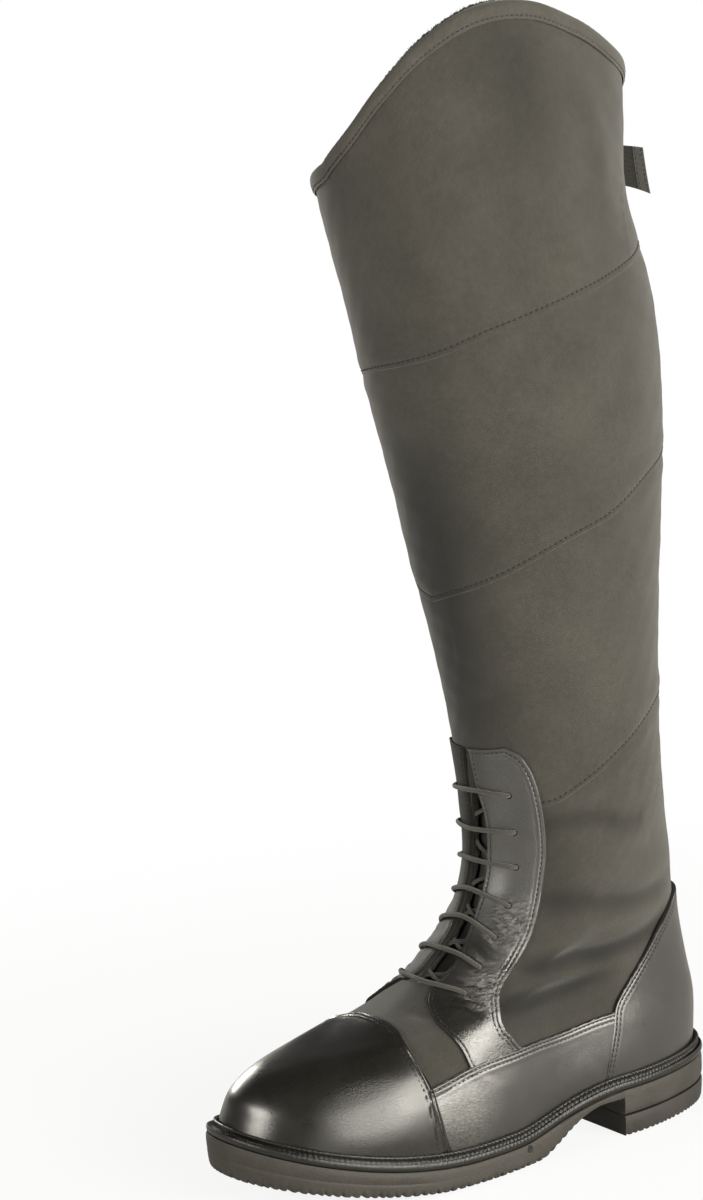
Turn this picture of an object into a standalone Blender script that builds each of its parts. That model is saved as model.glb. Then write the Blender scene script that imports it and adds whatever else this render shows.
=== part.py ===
"""Winter riding boot, left foot.

Metres, +Z up.  The toe points to -Y and the outer (lateral) side of the foot is +X.
The origin is under the middle of the boot, on the plane that heel and ball stand on.
The foot and the shaft are one function, upper_point(u, v), lofted through the rows of
LAST.  u runs once round the leg from the front (0) over the outer side (0.25) and the
back (0.5) to the inner side (0.75).  v runs from the feather line, where the upper
meets the welt (0), to the top line (1).  Every overlay is cut between two forms that
are offset from this one, so that it follows the upper exactly.
"""
import bpy
import bmesh
import numpy as np
from math import pi
from mathutils import Vector

for old in list(bpy.data.objects):
    bpy.data.objects.remove(old, do_unlink=True)

MM = 0.001

# ------------------------------------------------------------------ driving sizes, mm
SOLE_LENGTH = 269.0        # outsole, toe to heel
HEEL_BACK_Y = 129.5        # places the back of the outsole, so the origin is mid-length
GAP = 0.3                  # between pieces that touch
WALL = 3.6                 # upper: shell cloth or leather with its fleece lining
LEATHER = 1.5              # overlays
FACET = 0.95               # added under an overlay, so that flat facets keep the gap
WELT_T = 3.2               # welt strip
WELT_OUT = 5.4             # welt edge beyond the upper
SOLE_OUT = 6.0             # outsole edge beyond the upper
TOE_FLARE = 1.8            # more of both at the toe
LIP_H = 3.6                # storm lip above the welt
HEEL_HEIGHT = 17.8         # heel breast, floor to shank
HEEL_BREAST = 72.0         # distance of the breast from the back of the sole
TOP_LIFT = 10.0            # wear piece under the heel
BALL_Z, HEEL_Z = 14.6, 26.4   # top of the welt at ball and heel
SPRING_TOP, SPRING_BOTTOM = 23.0, 17.0
LUG_DEPTH = 2.6
INSOLE_T = 5.0
TONGUE_T = 2.2
TONGUE_GAP = 1.0
CORD_R = 1.15              # lace cord radius

# ------------------------------------------------------------------ the last
# One row for each section.  yf, zf: its front point; yb, zb: its back point (y from the
# back of the sole, negative to the toe; height above the floor).  wl, wm: half widths to
# the outer and inner side.  pw: place of the widest point from back to front.  nf, nb:
# fullness of the front and back halves (2 = ellipse).  pl, pm: how far the waist of the
# foot is drawn in, outer and inner.  xf, xc: sideways shift of the front point and of
# the middle.  sag: how much of the sole's curve the section follows.
LAST_COLUMNS = ("yf", "zf", "yb", "zb", "wl", "wm", "pw", "nf", "nb", "pl", "pm", "xf", "xc", "sag")
LAST = (
    (-261.0, 0.0,   -5.0, 0.0,   49.0, 46.5, 0.66, 2.20, 2.30, 7.5, 11.0, 2.0, 2.0, 1.00),   # feather line
    (-258.5, 41.5,  -3.6, 37.5,  50.5, 48.0, 0.66, 2.10, 2.25, 7.0, 10.0, 2.0, 2.0, 0.95),
    (-255.0, 49.5,  -2.2, 53.5,  50.0, 47.5, 0.65, 2.00, 2.20, 6.5, 9.0, 2.5, 2.0, 0.85),    # toe box
    (-246.5, 56.5,  -4.2, 71.5,  47.5, 46.0, 0.62, 1.95, 2.10, 5.5, 7.5, 3.5, 2.0, 0.70),
    (-230.5, 61.5,  -6.6, 91.0,  44.5, 44.0, 0.57, 1.88, 2.00, 4.0, 5.0, 5.0, 2.0, 0.50),
    (-205.0, 65.0,  -7.8, 110.0, 42.0, 42.0, 0.52, 1.75, 2.00, 2.5, 3.0, 6.5, 2.0, 0.30),    # vamp
    (-176.0, 75.0,  -8.5, 129.0, 40.5, 41.0, 0.48, 1.68, 2.00, 1.0, 1.0, 7.5, 2.0, 0.15),    # instep
    (-154.5, 89.5,  -10.5, 147.0, 40.0, 41.0, 0.46, 1.72, 2.00, 0.0, 0.0, 8.0, 1.5, 0.05),
    (-134.5, 107.5, -12.0, 164.0, 41.0, 42.0, 0.46, 1.75, 2.00, 0.0, 0.0, 7.5, 1.0, 0.0),
    (-122.0, 131.0, -13.0, 180.0, 43.0, 44.0, 0.48, 1.85, 2.00, 0.0, 0.0, 6.5, 0.5, 0.0),    # throat
    (-119.0, 161.0, -13.5, 198.0, 45.5, 46.0, 0.50, 1.95, 2.00, 0.0, 0.0, 5.5, 0.0, 0.0),    # ankle
    (-120.0, 195.0, -12.5, 220.0, 47.5, 47.5, 0.50, 2.05, 2.00, 0.0, 0.0, 4.0, 0.0, 0.0),
    (-126.0, 237.0, -10.5, 252.0, 50.0, 50.0, 0.50, 2.00, 2.00, 0.0, 0.0, 2.0, 0.0, 0.0),
    (-135.5, 287.0, -6.5, 296.0, 54.0, 54.0, 0.50, 2.00, 2.00, 0.0, 0.0, 0.5, 0.0, 0.0),
    (-145.0, 337.0, -1.2, 346.0, 57.0, 57.0, 0.50, 2.00, 2.00, 0.0, 0.0, 0.0, 0.0, 0.0),     # calf
    (-155.0, 386.0, -3.2, 398.0, 59.0, 59.0, 0.50, 2.00, 2.00, 0.0, 0.0, 0.0, 0.0, 0.0),
    (-164.0, 430.0, -15.2, 448.0, 60.0, 60.0, 0.50, 2.00, 2.00, 0.0, 0.0, 0.0, 0.0, 0.0),
    (-172.5, 474.0, -13.4, 497.0, 60.0, 60.0, 0.50, 2.00, 2.00, 0.0, 0.0, 0.0, 0.0, 0.0),    # level of the top line
    (-179.5, 520.0, -10.5, 542.0, 60.0, 60.0, 0.50, 2.00, 2.00, 0.0, 0.0, 0.0, 0.0, 0.0),    # above it
)
TOP_ROW = 17               # the row that stands for v = 1 before the top line is cut

# Top line: outer side high, inner side dipped.  u, and height along the form.
TOP_LINE_COLUMNS = ("u", "cut")
TOP_LINE = (
    (0.00, 0.990), (0.06, 1.020), (0.10, 1.048), (0.15, 1.080), (0.20, 1.099), (0.25, 1.096),
    (0.30, 1.074), (0.36, 1.044), (0.43, 1.020), (0.50, 1.000), (0.60, 0.980), (0.70, 0.964),
    (0.80, 0.962), (0.90, 0.972), (1.00, 0.990),
)

# Throat: opening under the lacing.  v, its centre in u, half width in u.
THROAT_COLUMNS = ("v", "mid", "half")
THROAT_V = (0.238, 0.397)
THROAT = (
    (0.000, 0.000, 0.012), (0.070, 0.000, 0.014), (0.150, 0.006, 0.020), (0.200, 0.014, 0.030),
    (0.238, 0.019, 0.039), (0.262, 0.019, 0.040), (0.283, 0.013, 0.033), (0.305, 0.007, 0.031),
    (0.344, 0.006, 0.029), (0.380, 0.009, 0.022), (0.397, 0.005, 0.011), (0.450, 0.000, 0.010),
    (1.000, 0.000, 0.010),
)

# Zip: slot up the middle of the back.  The chain ends below the top line.
ZIP_U, ZIP_HALF = 0.500, 0.0085
ZIP_V0, ZIP_V1 = 0.225, 0.982
COIL_HALF = 0.0062
PULL_LENGTH, PULL_WIDTH, PULL_T = 12.5, 6.0, 1.0

# Lace stays: v, u of the outer stay's front edge (at the throat, then down the vamp) and
# back edge, and of the inner stay's front edge; the inner back edge mirrors the outer one.
FACING_COLUMNS = ("v", "front", "back", "inner_front")
FACING = (
    (0.433, 0.006, 0.080, -0.006), (0.427, 0.007, 0.098, -0.007), (0.415, 0.010, 0.114, -0.009),
    (0.400, 0.016, 0.124, -0.010), (0.380, 0.030, 0.131, -0.012), (0.344, 0.034, 0.136, -0.022),
    (0.305, 0.037, 0.142, -0.024), (0.283, 0.044, 0.149, -0.019), (0.262, 0.057, 0.158, -0.018),
    (0.244, 0.061, 0.164, -0.023), (0.232, 0.056, 0.166, -0.046), (0.214, 0.068, 0.167, -0.086),
    (0.185, 0.103, 0.174, -0.122), (0.160, 0.133, 0.191, -0.146), (0.139, 0.159, 0.210, -0.166),
    (0.117, 0.187, 0.232, -0.190), (0.097, 0.212, 0.256, -0.213), (0.080, 0.232, 0.270, -0.232),
)

# Lace rungs, from the top down: v and u of the outer eyelet (the inner one mirrors it), and
# v where the cord goes over the ridge of the instep.
EYELET_COLUMNS = ("v", "u", "crest")
EYELETS = (
    (0.394, 0.080, 0.400), (0.364, 0.086, 0.370), (0.335, 0.091, 0.346), (0.301, 0.097, 0.322),
    (0.268, 0.104, 0.300), (0.233, 0.114, 0.270), (0.198, 0.126, 0.238),
)
CREST_U = 0.0

# Tab over the top of the zip: sewn to the inner side, its free end standing off.
TAB_ROOT_U, TAB_LEAVE_U = 0.595, 0.545
TAB_V = (0.926, 0.962)
TAB_FREE, TAB_T = 28.5, 2.2

# Toe cap: its seam, from the top of the foot down to the feather line.  u, v.
CAP_SEAM = ((0.000, 0.193), (0.045, 0.186), (0.086, 0.167), (0.120, 0.141), (0.150, 0.116),
            (0.181, 0.089), (0.208, 0.064), (0.227, 0.040), (0.246, 0.008))
# Rand: its top edge, from the toe cap back to the counter.  u, v.
RAND_TOP = ((0.211, 0.065), (0.242, 0.077), (0.272, 0.076), (0.310, 0.064), (0.343, 0.058))
# Heel counter: front edge, from the feather line up to the back.  u, v.
COUNTER_EDGE = ((0.334, 0.008), (0.339, 0.043), (0.343, 0.067), (0.357, 0.087), (0.376, 0.107),
                (0.398, 0.126), (0.425, 0.141), (0.460, 0.146), (0.500, 0.147))
V_LOW = 0.0115             # overlays end this far up, just over the storm lip


# ------------------------------------------------------------------ curves and tables
def smooth(s):
    s = np.clip(s, 0.0, 1.0)
    return s * s * (3.0 - 2.0 * s)


def welt_top(y):
    """Height of the welt's top along the boot: heel, arch, ball and toe spring."""
    q = -np.asarray(y, float) / SOLE_LENGTH
    return (HEEL_Z + (BALL_Z - HEEL_Z) * smooth((q - 0.26) / 0.25)
            + SPRING_TOP * np.clip((q - 0.60) / 0.40, 0.0, 1.2) ** 1.75)


def sole_bottom(y):
    """Height of the tread: flat under the ball, sprung at the toe, up to the shank."""
    q = -np.asarray(y, float) / SOLE_LENGTH
    return (HEEL_HEIGHT * smooth((0.466 - q) / 0.160)
            + SPRING_BOTTOM * np.clip((q - 0.645) / 0.355, 0.0, 1.2) ** 1.45)


def through(knots, rows, at):
    """Smooth curve through rows at knots."""
    knots, rows, at = np.asarray(knots, float), np.asarray(rows, float), np.asarray(at, float)
    step = np.diff(knots)
    slope = np.diff(rows, axis=0) / step[:, None]
    tangent = np.empty_like(rows)
    tangent[0], tangent[-1] = slope[0], slope[-1]
    share = (step[:-1] / (step[:-1] + step[1:]))[:, None]
    tangent[1:-1] = slope[:-1] * (1 - share) + slope[1:] * share
    i = np.clip(np.searchsorted(knots, at, side="right") - 1, 0, len(step) - 1)
    t, h = ((at - knots[i]) / step[i])[:, None], step[i][:, None]
    return (rows[i] * (2 * t ** 3 - 3 * t ** 2 + 1) + tangent[i] * h * (t ** 3 - 2 * t ** 2 + t)
            + rows[i + 1] * (3 * t ** 2 - 2 * t ** 3) + tangent[i + 1] * h * (t ** 3 - t ** 2))


def table(rows, at):
    """Columns 1.. of a table, read at values of its first column."""
    rows = np.asarray(rows, float)
    at = np.atleast_1d(np.asarray(at, float))
    return through(rows[:, 0], rows[:, 1:], np.clip(at, rows[0, 0], rows[-1, 0]))


LAST_A = np.array(LAST, float)
LAST_A[0, 1], LAST_A[0, 3] = welt_top(LAST_A[0, 0]), welt_top(LAST_A[0, 2])
_run = 0.5 * (np.hypot(np.diff(LAST_A[:, 0]), np.diff(LAST_A[:, 1]))
              + np.hypot(np.diff(LAST_A[:, 2]), np.diff(LAST_A[:, 3])))
LAST_KNOTS = np.concatenate([[0.0], np.cumsum(_run)])
RUN = LAST_KNOTS[TOP_ROW]                 # mm along the form for v = 1
LAST_KNOTS = LAST_KNOTS / RUN


def form_point(u, w):
    """Point of the leg's form at u, at height w along it (1 = level of the top line)."""
    yf, zf, yb, zb, wl, wm, pw, nf, nb, pl, pm, xf, xc, sag = through(LAST_KNOTS, LAST_A, w).T
    c, s = np.cos(2 * pi * u), np.sin(2 * pi * u)
    n = np.where(c > 0, nf, nb)
    along, across = np.abs(c) ** (2 / n), np.abs(s) ** (2 / n)
    q = np.where(c > 0, pw + (1 - pw) * along, pw - pw * along)
    waist = np.exp(-((q - 0.40) / 0.13) ** 2) * np.minimum(1.0, 1.2 * across)
    half = np.where(s > 0, wl, wm) * across - np.where(s > 0, pl, pm) * waist
    y = yb + (yf - yb) * q
    z = zb + (zf - zb) * q + sag * (welt_top(y) - (welt_top(yb) + (welt_top(yf) - welt_top(yb)) * q))
    x = xc * 2 * q * (1 - q) + xf * q * q + np.sign(s) * half
    return np.stack([x, y + HEEL_BACK_Y, z], 1)


def cut_height(u, v):
    top = table(TOP_LINE, np.mod(u, 1.0))[:, 0]
    return v + (top - 1.0) * smooth((v - 0.70) / 0.30)


def upper_point(u, v, off=0.0):
    """Point of the upper at (u, v), off mm out from its outside."""
    u, v = np.broadcast_arrays(np.asarray(u, float), np.asarray(v, float))
    shape = u.shape
    u, v = u.ravel(), v.ravel()
    w = cut_height(u, v)
    p = form_point(u, w)
    if np.any(off):
        e = 0.002
        du = form_point(u + e, w) - form_point(u - e, w)
        dv = form_point(u, w + e) - form_point(u, np.maximum(w - e, 0.0))
        n = np.cross(du, dv)
        n /= np.linalg.norm(n, axis=1)[:, None]
        p = p + n * np.broadcast_to(off, shape).ravel()[:, None]
    return p.reshape(shape + (3,))


def foot_plan(u, grow):
    """The feather line in plan, grown outward by grow mm.  Returns x and y."""
    u = np.asarray(u, float)
    e = 0.001
    p = form_point(u, np.zeros(u.shape))
    d = form_point(u + e, np.zeros(u.shape)) - form_point(u - e, np.zeros(u.shape))
    n = np.stack([-d[:, 1], d[:, 0]], 1)
    n /= np.linalg.norm(n, axis=1)[:, None]
    n *= np.sign(np.sum(n * (p[:, :2] - p[:, :2].mean(axis=0)), axis=1))[:, None]
    return p[:, :2] + n * np.broadcast_to(grow, u.shape)[:, None]


# ------------------------------------------------------------------ materials
def edge(u, out):
    """Distance of a sole edge beyond the upper: out, and wider round the toe."""
    return out + TOE_FLARE * np.exp(-(np.minimum(np.mod(u, 1.0), 1.0 - np.mod(u, 1.0)) / 0.13) ** 2)


def material(name, colour, rough, metal=0.0):
    m = bpy.data.materials.new(name)
    m.use_nodes = True
    b = m.node_tree.nodes["Principled BSDF"]
    b.inputs["Base Color"].default_value = (*colour, 1.0)
    b.inputs["Roughness"].default_value = rough
    b.inputs["Metallic"].default_value = metal
    return m


TEXTILE = material("textile", (0.085, 0.078, 0.066), 0.85)
HIDE = material("leather", (0.020, 0.018, 0.014), 0.35)
RUBBER = material("sole_rubber", (0.050, 0.046, 0.038), 0.60)
WELTING = material("welt_leather", (0.030, 0.027, 0.022), 0.50)
FLEECE = material("fleece", (0.020, 0.019, 0.018), 0.95)
CORD = material("lace_cord", (0.040, 0.036, 0.030), 0.75)
METAL = material("zip_metal", (0.10, 0.10, 0.10), 0.40, 1.0)
TAPE = material("zip_tape", (0.030, 0.028, 0.025), 0.80)


# ------------------------------------------------------------------ mesh makers
def add(name, verts, faces, mat, angle=40):
    mesh = bpy.data.meshes.new(name)
    mesh.from_pydata([tuple(p * MM) for p in np.asarray(verts, float)], [], faces)
    mesh.validate()
    bm = bmesh.new()
    bm.from_mesh(mesh)
    bmesh.ops.recalc_face_normals(bm, faces=bm.faces)
    if bm.calc_volume(signed=True) < 0:
        bmesh.ops.reverse_faces(bm, faces=bm.faces)
    bm.to_mesh(mesh)
    bm.free()
    mesh.materials.append(mat)
    obj = bpy.data.objects.new(name, mesh)
    bpy.context.scene.collection.objects.link(obj)
    mesh.shade_smooth()
    mesh.set_sharp_from_angle(angle=angle * pi / 180)
    return obj


def shell(name, outer, inner, mat, closed=False, hole=None):
    """Solid between two grids of points.  closed: the second direction runs all the way
    round.  hole(i, j): cells that stay open."""
    rows, cols = outer.shape[:2]
    verts, index, faces = [], {}, []

    def vertex(side, i, j):
        key = (side, i, j % cols if closed else j)
        if key not in index:
            index[key] = len(verts)
            verts.append((outer, inner)[side][key[1], key[2]])
        return index[key]

    cells = {(i, j) for i in range(rows - 1) for j in range(cols if closed else cols - 1)
             if not (hole and hole(i, j))}
    for i, j in sorted(cells):
        around = [(i, j), (i, j + 1), (i + 1, j + 1), (i + 1, j)]
        faces.append([vertex(0, *k) for k in around])
        faces.append([vertex(1, *k) for k in reversed(around)])
        beside = [(i - 1, j), (i, j + 1), (i + 1, j), (i, j - 1)]
        for k in range(4):
            n = beside[k]
            if closed:
                n = (n[0], n[1] % cols)
            if n not in cells:
                a, b = around[k], around[(k + 1) % 4]
                faces.append([vertex(0, *b), vertex(0, *a), vertex(1, *a), vertex(1, *b)])
    return add(name, verts, faces, mat)


def ring(name, sections, mat, closed=True):
    """Solid swept through sections (stations, points, 3); open ends are capped."""
    n, k = sections.shape[:2]
    faces = []
    for i in range(n if closed else n - 1):
        for j in range(k):
            a, b = i * k + j, i * k + (j + 1) % k
            c, d = ((i + 1) % n) * k + (j + 1) % k, ((i + 1) % n) * k + j
            faces.append([a, b, c, d])
    if not closed:
        faces.append(list(range(k)))
        faces.append([(n - 1) * k + j for j in reversed(range(k))])
    return add(name, sections.reshape(-1, 3), faces, mat)


def resample(edge, count):
    """count points of (u, v) along an edge given by a few, evenly spaced by length."""
    edge = np.asarray(edge, float)
    step = np.hypot(np.diff(edge[:, 0]) * 300, np.diff(edge[:, 1]) * RUN)
    at = np.concatenate([[0.0], np.cumsum(step)])
    return through(at / at[-1], edge, np.linspace(0, 1, count))


def coons(bottom, top, left, right, rows, cols):
    """(u, v) grid inside four edges, each a short table of (u, v)."""
    b, t = resample(bottom, cols)[None], resample(top, cols)[None]
    l, r = resample(left, rows)[:, None], resample(right, rows)[:, None]
    x, y = np.linspace(0, 1, cols)[None, :, None], np.linspace(0, 1, rows)[:, None, None]
    g = (b * (1 - y) + t * y + l * (1 - x) + r * x
         - (l[0] * (1 - x) + r[0] * x) * (1 - y) - (l[-1] * (1 - x) + r[-1] * x) * y)
    return g[..., 0], g[..., 1]


def overlay(name, u, v, mat, low=GAP + FACET, high=GAP + FACET + LEATHER):
    return shell(name, upper_point(u, v, high), upper_point(u, v, low), mat)


# ------------------------------------------------------------------ upper
def upper_columns(v):
    """u of each grid column at height v.  Two columns follow the throat's edges and two
    follow the zip slot's."""
    mid, half = table(THROAT, v)[0]
    front = [mid - half, mid + half]
    near = list(np.linspace(mid + half, 0.125, 4)[1:-1])
    outer = list(np.linspace(0.125, ZIP_U - 0.030, 17))
    slot = [ZIP_U - ZIP_HALF, ZIP_U + ZIP_HALF]
    inner = list(np.linspace(ZIP_U + 0.030, 0.905, 16))
    far = list(np.linspace(0.905, 1 + mid - half, 4)[1:-1])
    return np.array(front + near + outer + slot + inner + far)


UPPER_V = np.array([0.0, 0.022, 0.048, 0.075, 0.104, 0.134, 0.164, 0.192, 0.220, THROAT_V[0], 0.262,
                    0.283, 0.305, 0.330, 0.356, 0.380, THROAT_V[1], 0.440, 0.490, 0.550, 0.620,
                    0.690, 0.760, 0.830, 0.900, 0.955, 1.0])
COLS = np.array([upper_columns(v) for v in UPPER_V])
ROWS = np.repeat(UPPER_V[:, None], COLS.shape[1], axis=1)
ZIP_COL = 2 + 2 + 17
ZIP_ROW = int(np.searchsorted(UPPER_V, ZIP_V0))


def upper_hole(i, j):
    throat = j == 0 and THROAT_V[0] <= UPPER_V[i] < THROAT_V[1]
    zip_slot = j == ZIP_COL and i >= ZIP_ROW
    return throat or zip_slot


upper = shell("upper", upper_point(COLS, ROWS), upper_point(COLS, ROWS, -WALL), TEXTILE,
              closed=True, hole=upper_hole)

# ------------------------------------------------------------------ sole


def evenly(count):
    """u of count stations round the foot, even along its outer side; the inner side uses
    the same ones mirrored, so that station i pairs with count - i."""
    fine = np.linspace(0.0, 0.5, 801)
    xy = foot_plan(fine, SOLE_OUT)
    run = np.concatenate([[0.0], np.cumsum(np.hypot(*np.diff(xy, axis=0).T))])
    half = np.interp(np.linspace(0, run[-1], count // 2 + 1), run, fine)
    return np.concatenate([half, 1.0 - half[-2:0:-1]])


AROUND = evenly(48)


def level(u, grow, height):
    """Points round the foot, grow mm outside the upper, height mm above the welt's top."""
    xy = foot_plan(u, grow)
    return np.column_stack([xy, welt_top(xy[:, 1] - HEEL_BACK_Y) + height])


rest = np.exp(-((AROUND - 0.5) / 0.055) ** 2)          # spur rest at the back
welt = ring("welt", np.stack([
    level(AROUND, -WALL, -WELT_T - GAP),
    level(AROUND, edge(AROUND, WELT_OUT) + 1.5 * rest, -WELT_T - GAP),
    level(AROUND, edge(AROUND, WELT_OUT) + 1.8 * rest, -GAP + 0.8 * rest),
    level(AROUND, 4.2 + 2.2 * rest, 0.5 + 1.2 * rest),
    level(AROUND, 3.6 + 1.6 * rest, LIP_H + 1.6 * rest),
    level(AROUND, 2.3 + 0.6 * rest, LIP_H + 0.6 * rest),
    level(AROUND, 2.2, -3 * GAP),
    level(AROUND, -WALL, -3 * GAP)], axis=1), WELTING)

sole_top_h = -WELT_T - 2 * GAP - 0.15


def slab(name, low_loop, high_loop, low_z, high_z, mat, steps=16, side=None):
    """Solid of the foot's outline: loops of points at its lower and upper edges, and
    height functions for its two faces.  The faces are strips across the foot."""
    n = len(low_loop)
    half = n // 2
    verts, faces = [], []

    def face_grid(loop, height, flip):
        start = len(verts)
        verts.extend(loop)
        index = {}
        # station i pairs the outer point i with the inner point n - i
        for i in range(1, half):
            a, b = loop[i], loop[n - i]
            for k in range(1, steps_across):
                t = k / steps_across
                p = a * (1 - t) + b * t
                p[2] = height(p[0], p[1])
                index[(i, k)] = len(verts)
                verts.append(p)
        def at(i, k):
            if i == 0 or i == half:
                return start + i
            if k == 0:
                return start + i
            if k == steps_across:
                return start + n - i
            return index[(i, k)]
        for i in range(half):
            for k in range(steps_across):
                quad = [at(i, k), at(i + 1, k), at(i + 1, k + 1), at(i, k + 1)]
                quad = [q for m, q in enumerate(quad) if q not in quad[:m]]
                if len(quad) > 2:
                    faces.append(quad if flip else quad[::-1])
        return start
    steps_across = 4
    s0 = face_grid(low_loop, low_z, False)
    prev = s0
    for loop in (side or []):
        cur = len(verts)
        verts.extend(loop)
        for i in range(n):
            j = (i + 1) % n
            faces.append([prev + i, prev + j, cur + j, cur + i])
        prev = cur
    s1 = face_grid(high_loop, high_z, True)
    for i in range(n):
        j = (i + 1) % n
        faces.append([prev + i, prev + j, s1 + j, s1 + i])
    return add(name, verts, faces, mat)


def lift(xy, height):
    return np.column_stack([xy, height])


def sole_top(x, y):
    return float(welt_top(y - HEEL_BACK_Y)) + sole_top_h


def tread(x, y):
    return float(sole_bottom(y - HEEL_BACK_Y))


edge_top = level(AROUND, edge(AROUND, SOLE_OUT), sole_top_h)
low_xy = foot_plan(AROUND, edge(AROUND, SOLE_OUT) - 0.5)
edge_low = lift(low_xy, sole_bottom(low_xy[:, 1] - HEEL_BACK_Y))
outsole = slab("outsole", edge_low, edge_top, tread, sole_top, RUBBER)


def cutter(name, verts, faces):
    obj = add(name, verts, faces, RUBBER)
    obj.hide_render = True
    obj.display_type = "WIRE"
    return obj


def box_mesh(x0, x1, y0, y1, z0, z1):
    v = [(x, y, z) for z in (z0, z1) for y in (y0, y1) for x in (x0, x1)]
    f = [(0, 2, 3, 1), (4, 5, 7, 6), (0, 1, 5, 4), (2, 6, 7, 3), (0, 4, 6, 2), (1, 3, 7, 5)]
    return v, f


def heel_outline(grow, breast):
    """Loop of the heel: the foot's outline behind the breast, closed straight across."""
    u = np.linspace(0.30, 0.70, 61)
    xy = foot_plan(u, grow)
    back = xy[xy[:, 1] > breast]
    xs = [np.interp(breast, xy[:31, 1], xy[:31, 0]), np.interp(breast, xy[:29:-1, 1], xy[:29:-1, 0])]
    return np.vstack([[xs[0], breast], back[::2], [xs[1], breast]])


def prism(name, low, high, z_low, z_high, mat):
    n = len(low)
    verts = np.vstack([lift(low, np.full(n, z_low)), lift(high, np.full(n, z_high))])
    faces = [list(range(n)), list(reversed(range(n, 2 * n)))]
    faces += [[i, (i + 1) % n, n + (i + 1) % n, n + i] for i in range(n)]
    return add(name, verts, faces, mat)


breast = HEEL_BACK_Y - HEEL_BREAST
lift_top = heel_outline(SOLE_OUT - 0.8, breast)
top_lift = prism("top_lift", heel_outline(SOLE_OUT - 1.5, breast + 0.8), lift_top, 0.0, TOP_LIFT - GAP, RUBBER)
block = prism("heel_core", lift_top, heel_outline(SOLE_OUT - 0.5, breast), TOP_LIFT, HEEL_HEIGHT + 1.5, RUBBER)


def boolean(target, tool, operation):
    m = target.modifiers.new(operation.lower(), "BOOLEAN")
    m.operation = operation
    m.solver = "EXACT"
    m.object = tool
    tool.hide_render = True
    tool.display_type = "WIRE"


boolean(outsole, block, "UNION")

# main lugs: slanting bars across the forepart, cut up from the tread
LUG_PITCH, LUG_GROOVE = 13.0, 3.2
groove_verts, groove_faces = [], []
for k in range(11):
    y = -132.5 + LUG_PITCH * k
    for side in (-1, 1):
        # the bars lean forward to the edges, and stop 4 mm short of the middle line
        x_in, x_out = side * 4.0 + 2.0, side * 64.0
        slant = 9.0
        z0 = float(sole_bottom(y - HEEL_BACK_Y)) - 6.0
        zt = [float(sole_bottom(yy - HEEL_BACK_Y)) + LUG_DEPTH for yy in (y, y + slant)]
        base = len(groove_verts)
        for (x, yy, zz) in ((x_in, y, zt[0]), (x_out, y + slant, zt[1])):
            groove_verts += [(x, yy, z0), (x, yy + LUG_GROOVE, z0), (x, yy + LUG_GROOVE, zz), (x, yy, zz)]
        f = [(0, 1, 2, 3), (7, 6, 5, 4), (0, 4, 5, 1), (1, 5, 6, 2), (2, 6, 7, 3), (3, 7, 4, 0)]
        groove_faces += [[base + i for i in quad] for quad in f]
grooves = cutter("lug_grooves", groove_verts, groove_faces)
boolean(outsole, grooves, "DIFFERENCE")

heel_verts, heel_faces = [], []
for k in range(4):
    y = breast + 12.0 + 13.0 * k
    v, f = box_mesh(-50.0, 50.0, y, y + 3.0, -4.0, LUG_DEPTH)
    base = len(heel_verts)
    heel_verts += v
    heel_faces += [[base + i for i in quad] for quad in f]
boolean(top_lift, cutter("heel_grooves", heel_verts, heel_faces), "DIFFERENCE")

# ------------------------------------------------------------------ insole
in_xy = foot_plan(AROUND, -WALL - 0.5)
in_base = welt_top(in_xy[:, 1] - HEEL_BACK_Y)
in_low = lift(in_xy, in_base - WELT_T - GAP + 0.1)
in_high = lift(foot_plan(AROUND, -WALL - 1.6), in_base - WELT_T - GAP + 0.1 + INSOLE_T)
insole = slab("insole", in_low, in_high,
              lambda x, y: float(welt_top(y - HEEL_BACK_Y)) - WELT_T - GAP + 0.1,
              lambda x, y: float(welt_top(y - HEEL_BACK_Y)) - WELT_T - GAP + 0.1 + INSOLE_T, FLEECE)

# ------------------------------------------------------------------ tongue
tv = np.linspace(0.195, 0.425, 13)
tmid = table(THROAT, tv)[:, 0]
tu = tmid[:, None] + np.linspace(-0.064, 0.064, 8)[None, :]
tv_grid = np.repeat(tv[:, None], 8, 1)
tongue = shell("tongue", upper_point(tu, tv_grid, -WALL - TONGUE_GAP),
               upper_point(tu, tv_grid, -WALL - TONGUE_GAP - TONGUE_T), TEXTILE)

# ------------------------------------------------------------------ leather overlays
CUT = 0.0018                        # half the gap between neighbouring overlays, in u
seam = np.array(CAP_SEAM)
corner = 5
top_half = seam[:corner + 1]
cap_top = np.vstack([top_half[::-1] * [-1, 1], top_half[1:]])
side = seam[corner:][::-1].copy()
side[0, 1] = V_LOW
cu, cv = coons([(-0.250, V_LOW), (-0.12, V_LOW), (0.0, V_LOW), (0.12, V_LOW), (0.250, V_LOW)], cap_top,
               side * [-1, 1], side, 8, 23)
toe_cap = overlay("toe_cap", cu * (1 - CUT * 2), cv, HIDE)


def rand_grid(sign):
    """From the toe cap's seam back to the counter, below the cloth quarter."""
    top = np.array(RAND_TOP)
    left = seam[seam[:, 1] <= top[0, 1] + 0.002][::-1].copy()
    left[0, 1] = V_LOW
    left[-1] = top[0]
    right = np.array([p for p in COUNTER_EDGE if p[1] < top[-1, 1]] + [tuple(top[-1])])
    right[0, 1] = V_LOW
    u, v = coons([(left[0, 0], V_LOW), (0.28, V_LOW), (0.31, V_LOW), (right[0, 0], V_LOW)], top, left, right, 5, 15)
    shift = np.linspace(3.0, -1.5, 15)[None, :] * CUT
    return sign * (u + shift), v


for sign, name in ((1, "rand_lateral"), (-1, "rand_medial")):
    ru, rv = rand_grid(sign)
    overlay(name, ru, rv, HIDE)

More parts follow.
